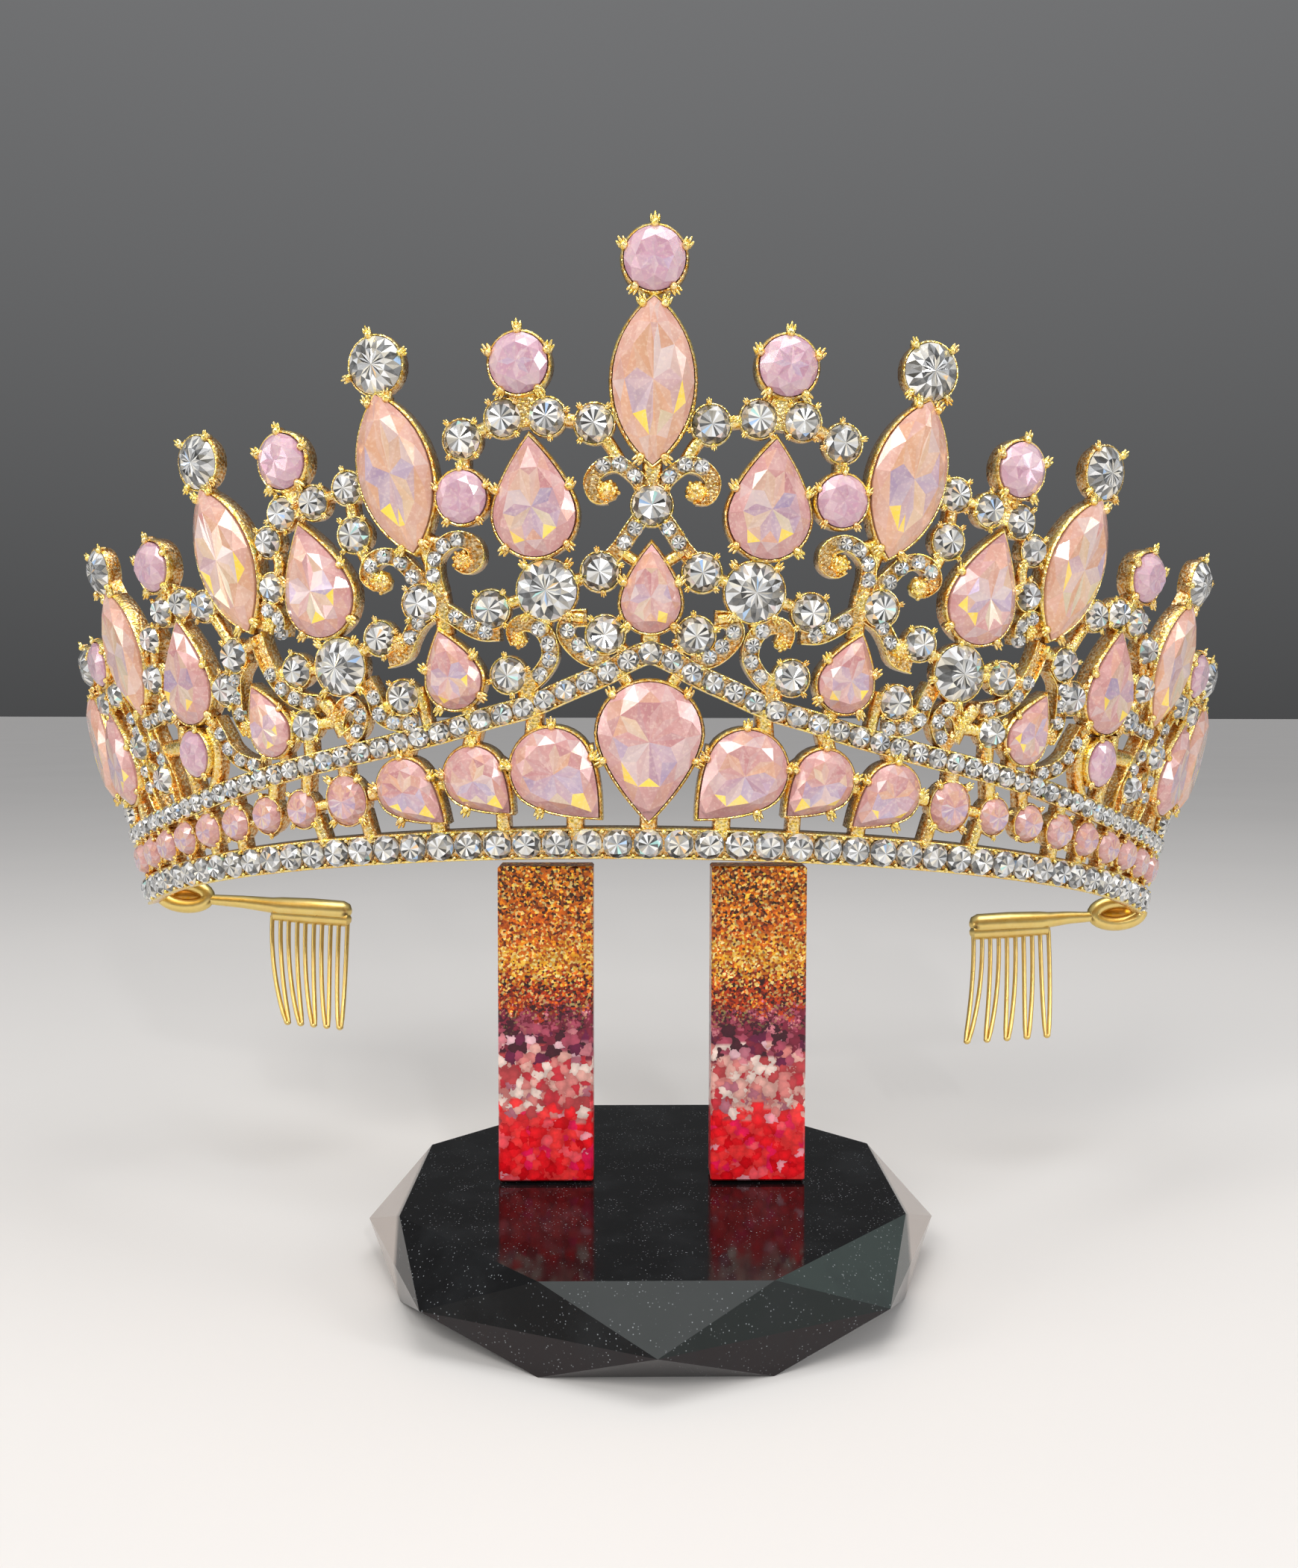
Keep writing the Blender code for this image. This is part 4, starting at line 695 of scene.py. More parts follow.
def outline_point(outline, degrees):
    """The outline's point in that direction from its middle, and the outward direction there."""
    points = np.asarray(outline, float)
    count = len(points)
    i = int(round(degrees / 360.0 * count)) % count
    along = points[(i + 1) % count] - points[i - 1]
    return points[i][0], points[i][1], math.atan2(-along[0], along[1])


# Stones

def crown_mesh(outline, focus, heights, scales, folds):
    """A cut stone with a table, stars, kites and girdle facets.

    The outline has folds times as many points as there are main facets. Returns
    vertices, faces and, for each face, its kind and the facet's number.
    """
    points = np.asarray(outline, float)
    count = len(points) // folds
    centre = np.asarray(focus, float)
    low, girdle, middle, table = heights
    mid_scale, table_scale, inner_scale = scales
    verts = [(x, y, low) for x, y in points]
    verts += [(x, y, girdle) for x, y in points]
    half = folds // 2
    verts += [(*(centre + (points[(i * folds + half) % len(points)] - centre) * mid_scale), middle)
              for i in range(count)]
    verts += [(*(centre + (points[i * folds] - centre) * table_scale), table) for i in range(count)]
    verts += [(*(centre + (points[(i * folds + half) % len(points)] - centre) * inner_scale), table)
              for i in range(count)]
    verts.append((*centre, table))
    n = len(points)
    g, m, t, a, c = n, 2 * n, 2 * n + count, 2 * n + 2 * count, 2 * n + 3 * count
    faces, kinds = [], []

    def put(face, kind, number):
        faces.append(face)
        kinds.append((kind, number))

    put(tuple(range(n - 1, -1, -1)), "back", 0)
    for i in range(n):
        j = (i + 1) % n
        put((i, j, g + j, g + i), "girdle", i // folds)
    for i in range(count):
        j = (i + 1) % count
        edge = [g + (i * folds + k) % n for k in range(folds + 1)]
        put(tuple(edge + [m + i]), "skirt", i)
        put((t + i, m + i, t + j), "star", i)
        put((t + i, m + (i - 1) % count, g + i * folds), "kite", i)
        put((t + i, g + i * folds, m + i), "kite", i)
        put((t + i, t + j, a + i), "inner", i)
        put((c, a + (i - 1) % count, t + i), "heart", 2 * i)
        put((c, t + i, a + i), "heart", 2 * i + 1)
    return np.array(verts), faces, kinds


def mixed(a, b, f):
    return tuple(x + (y - x) * f for x, y in zip(a, b))


def linear(red, green, blue):
    """A colour given as the eye sees it, 0 to 255, as linear light."""
    return tuple((c / 255.0 / 12.92) if c <= 10 else ((c / 255.0 + 0.055) / 1.055) ** 2.4
                 for c in (red, green, blue))


ROSE = linear(200, 145, 142)
ROSE_DEEP = linear(184, 122, 126)
ROSE_PALE = linear(211, 171, 166)
PEACH = linear(217, 166, 130)
PEACH_PALE = linear(218, 190, 158)
CREAM = linear(209, 199, 168)
LAVENDER = linear(176, 164, 190)
LAVENDER_DEEP = linear(156, 142, 176)
MILK = linear(212, 198, 197)
GLINT = linear(252, 214, 84)
LILAC = linear(200, 157, 174)
LILAC_DEEP = linear(182, 130, 152)
LILAC_PALE = linear(213, 186, 194)

# Colours of the inner facets of pears and marquises, from the stone's top to its bottom: lower bound, choices
PEAR_HEART = [
    (0.50, (ROSE, ROSE_DEEP, ROSE, PEACH)),
    (0.12, (PEACH, ROSE, PEACH_PALE, ROSE_DEEP, PEACH)),
    (-0.32, (LAVENDER, LAVENDER_DEEP, LAVENDER, MILK)),
    (-0.62, (LAVENDER, CREAM, ROSE_PALE, PEACH_PALE)),
    (-9.0, (ROSE, ROSE_PALE, PEACH)),
]
MARQUISE_HEART = [
    (0.55, (PEACH, ROSE_PALE, ROSE)),
    (0.14, (PEACH_PALE, PEACH, MILK, PEACH)),
    (-0.22, (LAVENDER, MILK, LAVENDER_DEEP, LAVENDER)),
    (-0.55, (PEACH_PALE, CREAM, PEACH, LAVENDER)),
    (-9.0, (PEACH, ROSE_PALE, PEACH_PALE)),
]
GLINT_RANGE = (-0.75, -0.12)
GLINTS = {"marquise": 2, "pear": 2, "round": 0, "oval": 0}


def opal_colour(rng, shape, kind, v):
    """Colour of one facet: v runs from -1 at the stone's bottom to 1 at its top."""
    if shape in ("round", "oval"):
        if kind in ("girdle", "skirt", "back"):
            return mixed(LILAC_DEEP, LILAC, 0.3 + 0.5 * rng.random())
        if kind in ("kite", "star"):
            return mixed(LILAC, LILAC_PALE, rng.random() * 0.8)
        return mixed(LILAC, rng.choice((LILAC_PALE, LAVENDER, LILAC_DEEP)), rng.random() * 0.55)
    body = ROSE if shape == "pear" else mixed(PEACH, ROSE, 0.45 if v > -0.1 else 0.15)
    if kind in ("girdle", "skirt", "back"):
        return mixed(mixed(body, ROSE_DEEP, 0.35), body, rng.random())
    if kind in ("kite", "star"):
        return mixed(body, rng.choice((ROSE_PALE, PEACH, MILK)), rng.random() * 0.55)
    table = PEAR_HEART if shape == "pear" else MARQUISE_HEART
    choices = next(found for bound, found in table if v > bound)
    return mixed(rng.choice(choices), body, 0.15 + rng.random() * 0.45)


PETAL_LIT_HALF = 0.16            # painted light: how much paler one half of a petal is painted than the other, as if lit on its side of the ridge
OPAL_TILT = {"heart": 0.10, "inner": 0.09, "star": 0.05, "kite": 0.03}
# Sizes of a crown's middle ring, table and inner ring, as shares of the outline
ROUND_SCALES = (0.84, 0.62, 0.30)
LONG_SCALES = (0.86, 0.70, 0.44)
CRYSTAL_SCALES = (0.84, 0.70, 0.66)
LARGE_SCALES = (0.80, 0.54, 0.34)
# Height of the middle ring between girdle and table, for loose and for fixed stones
LOOSE_MIDDLE = 0.52
FIXED_MIDDLE = 0.55
PEAR_FOCUS = 0.6              # where a pear's facets meet, on the way from its centre to its round end's


def cut_stone(build, name, shape, tip, foot, width):
    """A loose cut stone with facets in milky colours and a few glints low on it."""
    seat = Seat(tip, foot)
    facets, folds = (8 if shape in ("round", "oval") else 10), 4
    outline = stone_outline(shape, width, seat.height, facets * folds)
    focus = (0.0, (-seat.height / 2 + width / 2) * PEAR_FOCUS) if shape == "pear" else (0.0, 0.0)
    table = TABLE if width > 7.0 else SMALL_TABLE
    heights = (T_STONE, GIRDLE, GIRDLE + (table - GIRDLE) * LOOSE_MIDDLE, table)
    scales = ROUND_SCALES if shape in ("round", "oval") else LONG_SCALES
    verts, faces, kinds = crown_mesh(outline, focus, heights, scales, folds)
    rng = random.Random(name.replace("_left", "").replace("_right", ""))
    rise = verts[:, 1] * math.cos(seat.lean) - verts[:, 0] * math.sin(seat.lean)
    rise /= np.abs(rise).max()
    colours = []
    for face, (kind, number) in zip(faces, kinds):
        # the second half of each petal is painted paler, as painted light on its side of the ridge
        if kind == "heart" and number % 2:
            colours.append(mixed(colours[-1], MILK, PETAL_LIT_HALF))
        else:
            colours.append(opal_colour(rng, shape, kind, float(rise[list(face)].mean())))
    low = [i for i, (face, (kind, _)) in enumerate(zip(faces, kinds))
           if kind in ("inner", "star") and GLINT_RANGE[0] < rise[list(face)].mean() < GLINT_RANGE[1]]
    for i in rng.sample(low, min(GLINTS[shape], len(low))):
        colours[i] = GLINT
    build.add(seat.plane(verts), faces, colours, tilts=[OPAL_TILT.get(kind, 0.0) for kind, _ in kinds])


# Painted reflections of the clear stones: the grey of each kind of facet, light and dark wedges round the
# table, faint cool and warm tints, the warm ones reflected gold, and now and then a flash of colour.
CRYSTAL_REFLECTION_GREYS = {
    "girdle": (0.30, 0.60, 0.80), "skirt": (0.20, 0.70, 0.42, 0.95), "back": (0.3,),
    "kite": (0.08, 0.60, 0.95, 0.30, 0.14), "star": (0.72, 0.25, 0.95, 0.07),
    "inner": (0.50, 0.05, 0.85, 0.22),
}
BRIGHT_REFLECTION_WEDGES = (1.0, 0.86, 0.66, 0.44, 0.92)
DARK_REFLECTION_WEDGES = (0.04, 0.42, 0.13, 0.66, 0.26, 0.07, 0.50)
CRYSTAL_REFLECTION_TINTS = ((0.96, 0.98, 1.0), (1.0, 0.93, 0.78), (0.98, 0.99, 1.0), (1.0, 0.96, 0.88),
                 (1.0, 0.98, 0.94))
FLASHES = (linear(176, 210, 255), linear(255, 208, 150), linear(190, 240, 232))
FLASH_CHANCE = 0.025
CRYSTAL_TILT = {"heart": 0.34, "inner": 0.30, "star": 0.16, "kite": 0.12, "skirt": 0.08}


def crystal_reflection_colour(rng, kind, number):
    """Painted reflection on one facet of a clear stone: a grey, light for some facets and dark for others,
    with a faint tint, and now and then a flash of colour.
    """
    if rng.random() < FLASH_CHANCE:
        return rng.choice(FLASHES)
    if kind == "heart":
        shade = rng.choice(DARK_REFLECTION_WEDGES if number % 2 else BRIGHT_REFLECTION_WEDGES)
    else:
        shade = rng.choice(CRYSTAL_REFLECTION_GREYS[kind])
    tint = rng.choice(CRYSTAL_REFLECTION_TINTS)
    return tuple(min(1.0, shade * part) for part in tint)


# Main facets of a fixed stone: width that it has to pass, count
FACETS_BY_WIDTH = [(6.0, 16), (4.0, 10), (0.0, 8)]
GIRDLE_DEPTH = 0.5            # how far a fixed stone goes down into its cup


def fixed_stone(build, s, h, width, height, t_girdle, t_table, seed, pink=False):
    """A small stone glued in its cup: clear, or pink like the cut stones."""
    seat = Seat((s, h + height / 2), (s, h - height / 2))
    facets, folds = next(found for bound, found in FACETS_BY_WIDTH if width > bound), 2
    outline = oval_outline(width, height, facets * folds, seed * GOLDEN_TURN)
    heights = (t_girdle - GIRDLE_DEPTH, t_girdle, t_girdle + (t_table - t_girdle) * FIXED_MIDDLE, t_table)
    scales = LONG_SCALES if pink else (LARGE_SCALES if width > 6.0 else CRYSTAL_SCALES)
    verts, faces, kinds = crown_mesh(outline, (0.0, 0.0), heights, scales, folds)
    rng = random.Random(seed)
    colours = []
    for face, (kind, number) in zip(faces, kinds):
        if pink:
            v = float(verts[list(face), 1].mean()) / (height / 2)
            colours.append(opal_colour(rng, "pear", kind, v))
        else:
            colours.append(crystal_reflection_colour(rng, kind, number))
    tilt = OPAL_TILT if pink else CRYSTAL_TILT
    build.add(seat.plane(verts), faces, colours, tilts=[tilt.get(kind, 0.0) for kind, _ in kinds])


def band_positions(line, pitch):
    """Evenly spaced points along a line, measured on the surface, from its start."""
    line = smooth_line(line, 8)
    lengths = [0.0]
    for a, b in zip(line, line[1:]):
        k = float(stretch((a[0] + b[0]) / 2, (a[1] + b[1]) / 2))
        lengths.append(lengths[-1] + math.hypot((b[0] - a[0]) * k, b[1] - a[1]))
    count = int(lengths[-1] / pitch)
    marks = np.arange(2 * count + 1) * pitch / 2
    s = np.interp(marks, lengths, [p[0] for p in line])
    h = np.interp(marks, lengths, [p[1] for p in line])
    return list(zip(s, h))


# Materials

class Nodes:
    """A node tree, with a short way to add and link nodes."""

    def __init__(self, owner, coordinates="Object"):
        owner.use_nodes = True
        self.owner = owner
        self.tree = owner.node_tree
        self.place = self.tree.nodes.new("ShaderNodeTexCoord").outputs[coordinates]

    def add(self, kind, **values):
        """A new node, with values for its inputs or else for its settings."""
        node = self.tree.nodes.new(kind)
        for key, value in values.items():
            if key in node.inputs:
                node.inputs[key].default_value = value
            else:
                setattr(node, key, value)
        return node

    def link(self, a, b):
        self.tree.links.new(a, b)

    def feed(self, socket, value):
        """Links another socket to this one, or sets it to a number or a colour."""
        if isinstance(value, bpy.types.NodeSocket):
            self.link(value, socket)
        else:
            socket.default_value = (*value, 1.0) if isinstance(value, tuple) else value

    def noise(self, scale, detail=3.0, roughness=0.55):
        node = self.add("ShaderNodeTexNoise", Scale=scale, Detail=detail, Roughness=roughness)
        self.link(self.place, node.inputs["Vector"])
        return node.outputs["Fac"]

    def cells(self, scale, place=None):
        node = self.add("ShaderNodeTexVoronoi", Scale=scale)
        self.link(place or self.place, node.inputs["Vector"])
        return node

    def shaken(self, scale, reach):
        """The place moved about by up to half of reach, in metres, so that cells get ragged edges."""
        node = self.add("ShaderNodeTexNoise", Scale=scale)
        self.link(self.place, node.inputs["Vector"])
        centred = self.add("ShaderNodeVectorMath", operation="SUBTRACT")
        self.link(node.outputs["Color"], centred.inputs[0])
        centred.inputs[1].default_value = (0.5, 0.5, 0.5)
        moved = self.add("ShaderNodeVectorMath", operation="MULTIPLY_ADD")
        self.link(centred.outputs[0], moved.inputs[0])
        moved.inputs[1].default_value = (reach, reach, reach)
        self.link(self.place, moved.inputs[2])
        return moved.outputs[0]

    def ramp(self, fac, stops, between="LINEAR"):
        node = self.add("ShaderNodeValToRGB")
        node.color_ramp.interpolation = between
        elements = node.color_ramp.elements
        while len(elements) < len(stops):
            elements.new(0.5)
        for element, (position, colour) in zip(elements, stops):
            element.position = position
            element.color = (*colour, 1.0)
        self.link(fac, node.inputs["Fac"])
        return node.outputs["Color"]

    def mix(self, fac, a, b, blend="MIX"):
        """A colour that goes from a to b with fac."""
        node = self.add("ShaderNodeMix", data_type="RGBA", blend_type=blend)
        for number, value in ((0, fac), (6, a), (7, b)):
            self.feed(node.inputs[number], value)
        return node.outputs[2]

    def blend(self, fac, a, b):
        """A number that goes from a to b with fac."""
        node = self.add("ShaderNodeMix", data_type="FLOAT")
        for number, value in ((0, fac), (2, a), (3, b)):
            self.feed(node.inputs[number], value)
        return node.outputs[0]

    def spread(self, fac, low, high, to_low, to_high):
        """The number taken from the range low to high into the range to_low to to_high."""
        ends = {"From Min": low, "From Max": high, "To Min": to_low, "To Max": to_high}
        node = self.add("ShaderNodeMapRange", **ends)
        self.link(fac, node.inputs["Value"])
        return node.outputs["Result"]

    def maths(self, operation, *values):
        node = self.add("ShaderNodeMath", operation=operation)
        for socket, value in zip(node.inputs, values):
            self.link(value, socket)
        return node.outputs[0]

    def product(self, a, b):
        return self.maths("MULTIPLY", a, b)

    def split(self, value, kind="XYZ"):
        """The outputs of a node that takes a direction or a colour apart."""
        node = self.add("ShaderNodeSeparate" + kind)
        self.link(value, node.inputs[0])
        return node.outputs

    def grey(self, value):
        node = self.add("ShaderNodeCombineColor")
        for socket in node.inputs:
            self.link(value, socket)
        return node.outputs[0]

    def attribute(self, name, output):
        return self.add("ShaderNodeAttribute", attribute_name=name).outputs[output]

    def bump(self, height, strength, distance, before=None):
        node = self.add("ShaderNodeBump", Strength=strength, Distance=distance)
        self.link(height, node.inputs["Height"])
        if before is not None:
            self.link(before, node.inputs["Normal"])
        return node.outputs["Normal"]

    def finish(self, colour, roughness, normal=None, **sockets):
        """The finished material, with plain numbers for the other sockets of its surface."""
        inputs = self.tree.nodes["Principled BSDF"].inputs
        self.feed(inputs["Base Color"], colour)
        self.feed(inputs["Roughness"], roughness)
        if normal is not None:
            self.link(normal, inputs["Normal"])
        for key, value in sockets.items():
            inputs[key.replace("_", " ")].default_value = value
        return self.owner


def material_nodes(name):
    return Nodes(bpy.data.materials.new(name))


# The deep colours are painted shade for the recesses of plating and comb; the pale one is painted highlight
# flecks on the grain.
GOLD_FRONT = linear(247, 216, 100)
GOLD_RECESS_SHADE = linear(184, 101, 9)
GOLD_WARM = linear(220, 136, 36)
GOLD_HIGHLIGHT_FLECK = linear(255, 244, 200)
GOLD_CRACK = linear(124, 62, 12)
GOLD_GRAIN = 2600.0           # grains to the metre
COMB_FRONT = linear(232, 205, 126)
COMB_RECESS_SHADE = linear(190, 130, 32)
COMB_GRAIN = 900.0
COMB_RELIEF = 0.15


def gold_material(name, front, deep, grain, relief):
    """Bright plating with painted shade, amber in its recesses, and painted highlight flecks on its grain.
    With relief 1 it is finely granulated, with less it is satin.
    """
    n = material_nodes(name)
    level = n.attribute("level", "Fac")
    broad = n.noise(300.0, 3.0)
    fine = n.noise(grain, 4.0, 0.65)
    grains = n.cells(grain * 0.9).outputs["Distance"]
    # painted shade by depth: the deep colour in the recesses, the front colour on the front
    base = n.ramp(level, [(0.0, deep), (0.60, mixed(deep, front, 0.30)), (0.98, front)])
    warm = n.mix(n.spread(broad, 0.44, 0.62, 0.0, 0.55 * relief), base, GOLD_WARM)
    # painted highlights: pale flecks over the fine grain
    colour = n.mix(n.spread(fine, 0.42, 0.58, 0.0, 0.60 * relief), warm, GOLD_HIGHLIGHT_FLECK)
    colour = n.mix(n.spread(grains, 0.0, 0.35, 0.30 * relief, 0.0), colour, GOLD_CRACK)
    rough = n.spread(fine, 0.3, 0.7, 0.30 - 0.18 * relief, 0.36 - 0.06 * relief)
    normal = n.bump(grains, 0.55 * relief, 0.00012)
    normal = n.bump(fine, 0.50 * relief, 0.00010, normal)
    return n.finish(colour, rough, normal, Metallic=1.0)


def mirror_normal(n):
    """The direction of the mirror behind each facet."""
    turn = n.add("ShaderNodeVectorTransform", vector_type="NORMAL", convert_from="OBJECT", convert_to="WORLD")
    n.link(n.attribute("under", "Vector"), turn.inputs["Vector"])
    return turn.outputs["Vector"]


OPAL_CLOUD = linear(236, 208, 200)
OPAL_STREAK = linear(244, 224, 202)
OPAL_GLINT_SPECK = linear(255, 246, 214)


def opal_material(name):
    """Milky glass with painted foil facets under a polished face, and rare specks of painted glints."""
    n = material_nodes(name)
    cloud = n.noise(420.0, 4.0, 0.6)
    milky = n.mix(n.spread(cloud, 0.44, 0.66, 0.0, 0.22), n.attribute("facet", "Color"), OPAL_CLOUD)
    streaks = n.noise(2400.0, 2.0, 0.5)
    milky = n.mix(n.spread(streaks, 0.52, 0.68, 0.0, 0.25), milky, OPAL_STREAK)
    # painted glints: rare bright specks
    spark = n.spread(n.cells(5200.0).outputs["Distance"], 0.0, 0.16, 1.0, 0.0)
    rare = n.spread(n.noise(900.0, 2.0), 0.57, 0.66, 0.0, 0.9)
    colour = n.mix(n.product(spark, rare), milky, OPAL_GLINT_SPECK)
    rough = n.spread(cloud, 0.3, 0.7, 0.10, 0.24)
    normal = n.bump(cloud, 0.04, 0.0001, mirror_normal(n))
    return n.finish(colour, rough, normal, Metallic=0.12, Subsurface_Weight=0.08, Subsurface_Scale=0.0008,
                    Coat_Weight=0.45, Coat_Roughness=0.02, Coat_IOR=1.55, Specular_IOR_Level=0.5)


CRYSTAL_VEIL = linear(236, 240, 242)


def crystal_material(name):
    """Clear foil-backed crystal: mirror facets, with their light and dark painted as reflections in the facet
    colours.
    """
    n = material_nodes(name)
    veil = n.noise(700.0, 3.0)
    colour = n.mix(n.spread(veil, 0.42, 0.65, 0.0, 0.16), n.attribute("facet", "Color"), CRYSTAL_VEIL)
    rough = n.spread(veil, 0.3, 0.7, 0.03, 0.10)
    normal = n.bump(veil, 0.05, 0.00008, mirror_normal(n))
    return n.finish(colour, rough, normal, Metallic=0.42, Coat_Weight=0.5, Coat_Roughness=0.01, Coat_IOR=1.6)


# Sideways distance from the middle at which the base's black core ends and clear resin begins, in metres
CORE_EDGE = (0.0319, 0.0327)
LIT_SIDE = (0.75, -0.30, 0.59)  # direction of the base's facets that are painted lit, a greenish grey
RESIN_BLACK = linear(11, 11, 12)
RESIN_LIT = linear(54, 62, 60)
RESIN_FLOOR_REFLECTION = linear(42, 37, 38)
RESIN_CLOUD = linear(40, 42, 44)
RESIN_SPARK = linear(190, 196, 200)
RESIN_CLEAR = linear(176, 164, 156)


def base_material():
    """Black cast resin with a fine sparkle of flakes whose glints are painted, smoky clouds and clear outer
    corners; facets turned one way are painted a lit greenish grey, faces turned down a painted reflection of
    the floor.
    """
    n = material_nodes("look_black_resin")
    clear = n.spread(n.maths("ABSOLUTE", n.split(n.place)["X"]), *CORE_EDGE, 0.0, 0.85)
    surface = n.add("ShaderNodeNewGeometry").outputs["True Normal"]
    lit = n.add("ShaderNodeVectorMath", operation="DOT_PRODUCT")
    n.link(surface, lit.inputs[0])
    lit.inputs[1].default_value = LIT_SIDE
    rise = n.split(surface)["Z"]
    # painted light: facets turned towards LIT_SIDE, apart from the top, are painted a lit greenish grey
    facet = n.product(n.spread(lit.outputs["Value"], 0.5, 0.95, 0.0, 1.0),
                      n.spread(rise, 0.90, 0.97, 1.0, 0.0))
    body = n.mix(facet, RESIN_BLACK, RESIN_LIT)
    # painted reflection of the floor on faces turned downwards
    body = n.mix(n.spread(rise, -0.15, 0.10, 0.9, 0.0), body, RESIN_FLOOR_REFLECTION)
    cloudy = n.mix(n.spread(n.noise(120.0, 4.0), 0.46, 0.64, 0.0, 0.3), body, RESIN_CLOUD)
    # fine sparkle: flakes in the resin, their bright glints painted as pale specks
    spark = n.spread(n.cells(2200.0).outputs["Distance"], 0.05, 0.20, 1.0, 0.0)
    patch = n.spread(n.noise(400.0, 2.0), 0.44, 0.62, 0.0, 0.65)
    colour = n.mix(n.product(spark, patch), cloudy, RESIN_SPARK)
    colour = n.mix(clear, colour, RESIN_CLEAR)
    rough = n.spread(n.noise(300.0, 3.0), 0.3, 0.7, 0.05, 0.13)
    normal = n.bump(n.noise(160.0, 3.0), 0.05, 0.0003)
    return n.finish(colour, rough, normal, Specular_IOR_Level=0.21, IOR=1.45)


# Chips of the glitter posts, from the foot upwards: share of the chips below it, and red, green, blue
# The palest red chips are painted highlights on the glossy resin.
RED_CHIPS = [(0.0, 226, 10, 24), (0.14, 252, 26, 36), (0.44, 255, 56, 56),
             (0.72, 250, 20, 84), (0.88, 255, 86, 96), (0.97, 255, 160, 172)]
PALE_CHIPS = [(0.0, 190, 62, 66), (0.16, 218, 128, 122), (0.42, 230, 170, 158),
              (0.66, 242, 214, 202), (0.80, 206, 44, 58), (0.91, 186, 108, 124)]
MAUVE_CHIPS = [(0.0, 66, 6, 28), (0.28, 126, 26, 52), (0.52, 174, 72, 94),
               (0.72, 216, 128, 138), (0.82, 106, 18, 62), (0.94, 238, 188, 196)]
EMBER_CHIPS = [(0.0, 50, 8, 2), (0.28, 130, 28, 0), (0.54, 196, 58, 0),
               (0.80, 236, 112, 4), (0.94, 252, 196, 70)]
PALE_GOLD_CHIPS = [(0.0, 156, 66, 0), (0.18, 208, 112, 2), (0.42, 232, 158, 20),
                   (0.68, 242, 192, 66), (0.90, 252, 232, 150)]
AMBER_CHIPS = [(0.0, 92, 30, 0), (0.20, 172, 66, 0), (0.48, 214, 96, 0),
               (0.78, 238, 136, 8), (0.94, 252, 204, 74)]
BRONZE_CHIPS = [(0.0, 58, 24, 0), (0.22, 132, 58, 0), (0.46, 194, 92, 0),
                (0.76, 234, 134, 8), (0.92, 252, 200, 64)]
# Heights at which one palette gives way to the next, and by how much the chips' places stray, in metres
CHIP_LEVELS = [(0.0207, PALE_CHIPS), (0.0285, MAUVE_CHIPS), (0.0345, EMBER_CHIPS), (0.0395, PALE_GOLD_CHIPS),
               (0.0435, AMBER_CHIPS), (0.0475, BRONZE_CHIPS)]
CHIP_CHANGE = 0.0002
CHIP_STRAY = 0.0042
FINE_FROM, FINE_ABOVE = 0.031, 0.038  # heights between which coarse chips turn into fine flecks
# Pale gold flecks of the fine glitter: real flakes, their glints painted
FLECK_GLINT = linear(255, 228, 140)


def glitter_material():
    """Clear resin posts filled with chips and glitter, from red at the foot to gold at the top."""
    n = material_nodes("look_glitter_resin")
    place = n.split(n.place)
    chips = n.cells(800.0, n.shaken(1500.0, 0.0011))
    chip = n.split(chips.outputs["Color"], "Color")
    fleck = n.split(n.cells(3300.0).outputs["Color"], "Color")
    fine = n.spread(place["Z"], FINE_FROM, FINE_ABOVE, 0.0, 1.0)
    pick = n.blend(fine, chip["Red"], fleck["Red"])
    stray = n.spread(n.blend(fine, chip["Green"], fleck["Green"]), 0.0, 1.0, -CHIP_STRAY / 2, CHIP_STRAY / 2)
    height = n.maths("ADD", place["Z"], stray)

    def picked(palette):
        return n.ramp(pick, [(share, linear(*colour)) for share, *colour in palette], "CONSTANT")

    colour = picked(RED_CHIPS)
    for level, palette in CHIP_LEVELS:
        above = n.spread(height, level - CHIP_CHANGE, level + CHIP_CHANGE, 0.0, 1.0)
        colour = n.mix(above, colour, picked(palette))
    # painted shade: each chip is darker towards its edges
    edges = n.spread(chips.outputs["Distance"], 0.2, 0.75, 1.0, 0.62)
    # painted glints on some of the fine glitter flakes
    sparkle = n.product(n.spread(fleck["Blue"], 0.84, 0.88, 0.0, 0.6), fine)
    colour = n.mix(sparkle, colour, FLECK_GLINT)
    shade = n.mix(1.0, colour, n.grey(edges), "MULTIPLY")
    normal = n.bump(chip["Blue"], 0.35, 0.0002)
    normal = n.bump(fleck["Red"], 0.30, 0.0001, normal)
    rough = n.spread(chip["Red"], 0.0, 1.0, 0.18, 0.42)
    return n.finish(shade, rough, normal, Metallic=0.12, Specular_IOR_Level=0.3, Coat_Weight=0.2,
                    Coat_Roughness=0.03)


# Tiara

BAND_PARTS = 66
SCROLL_RIM = 0.08             # how far the channel's sides stand outside a scroll's width


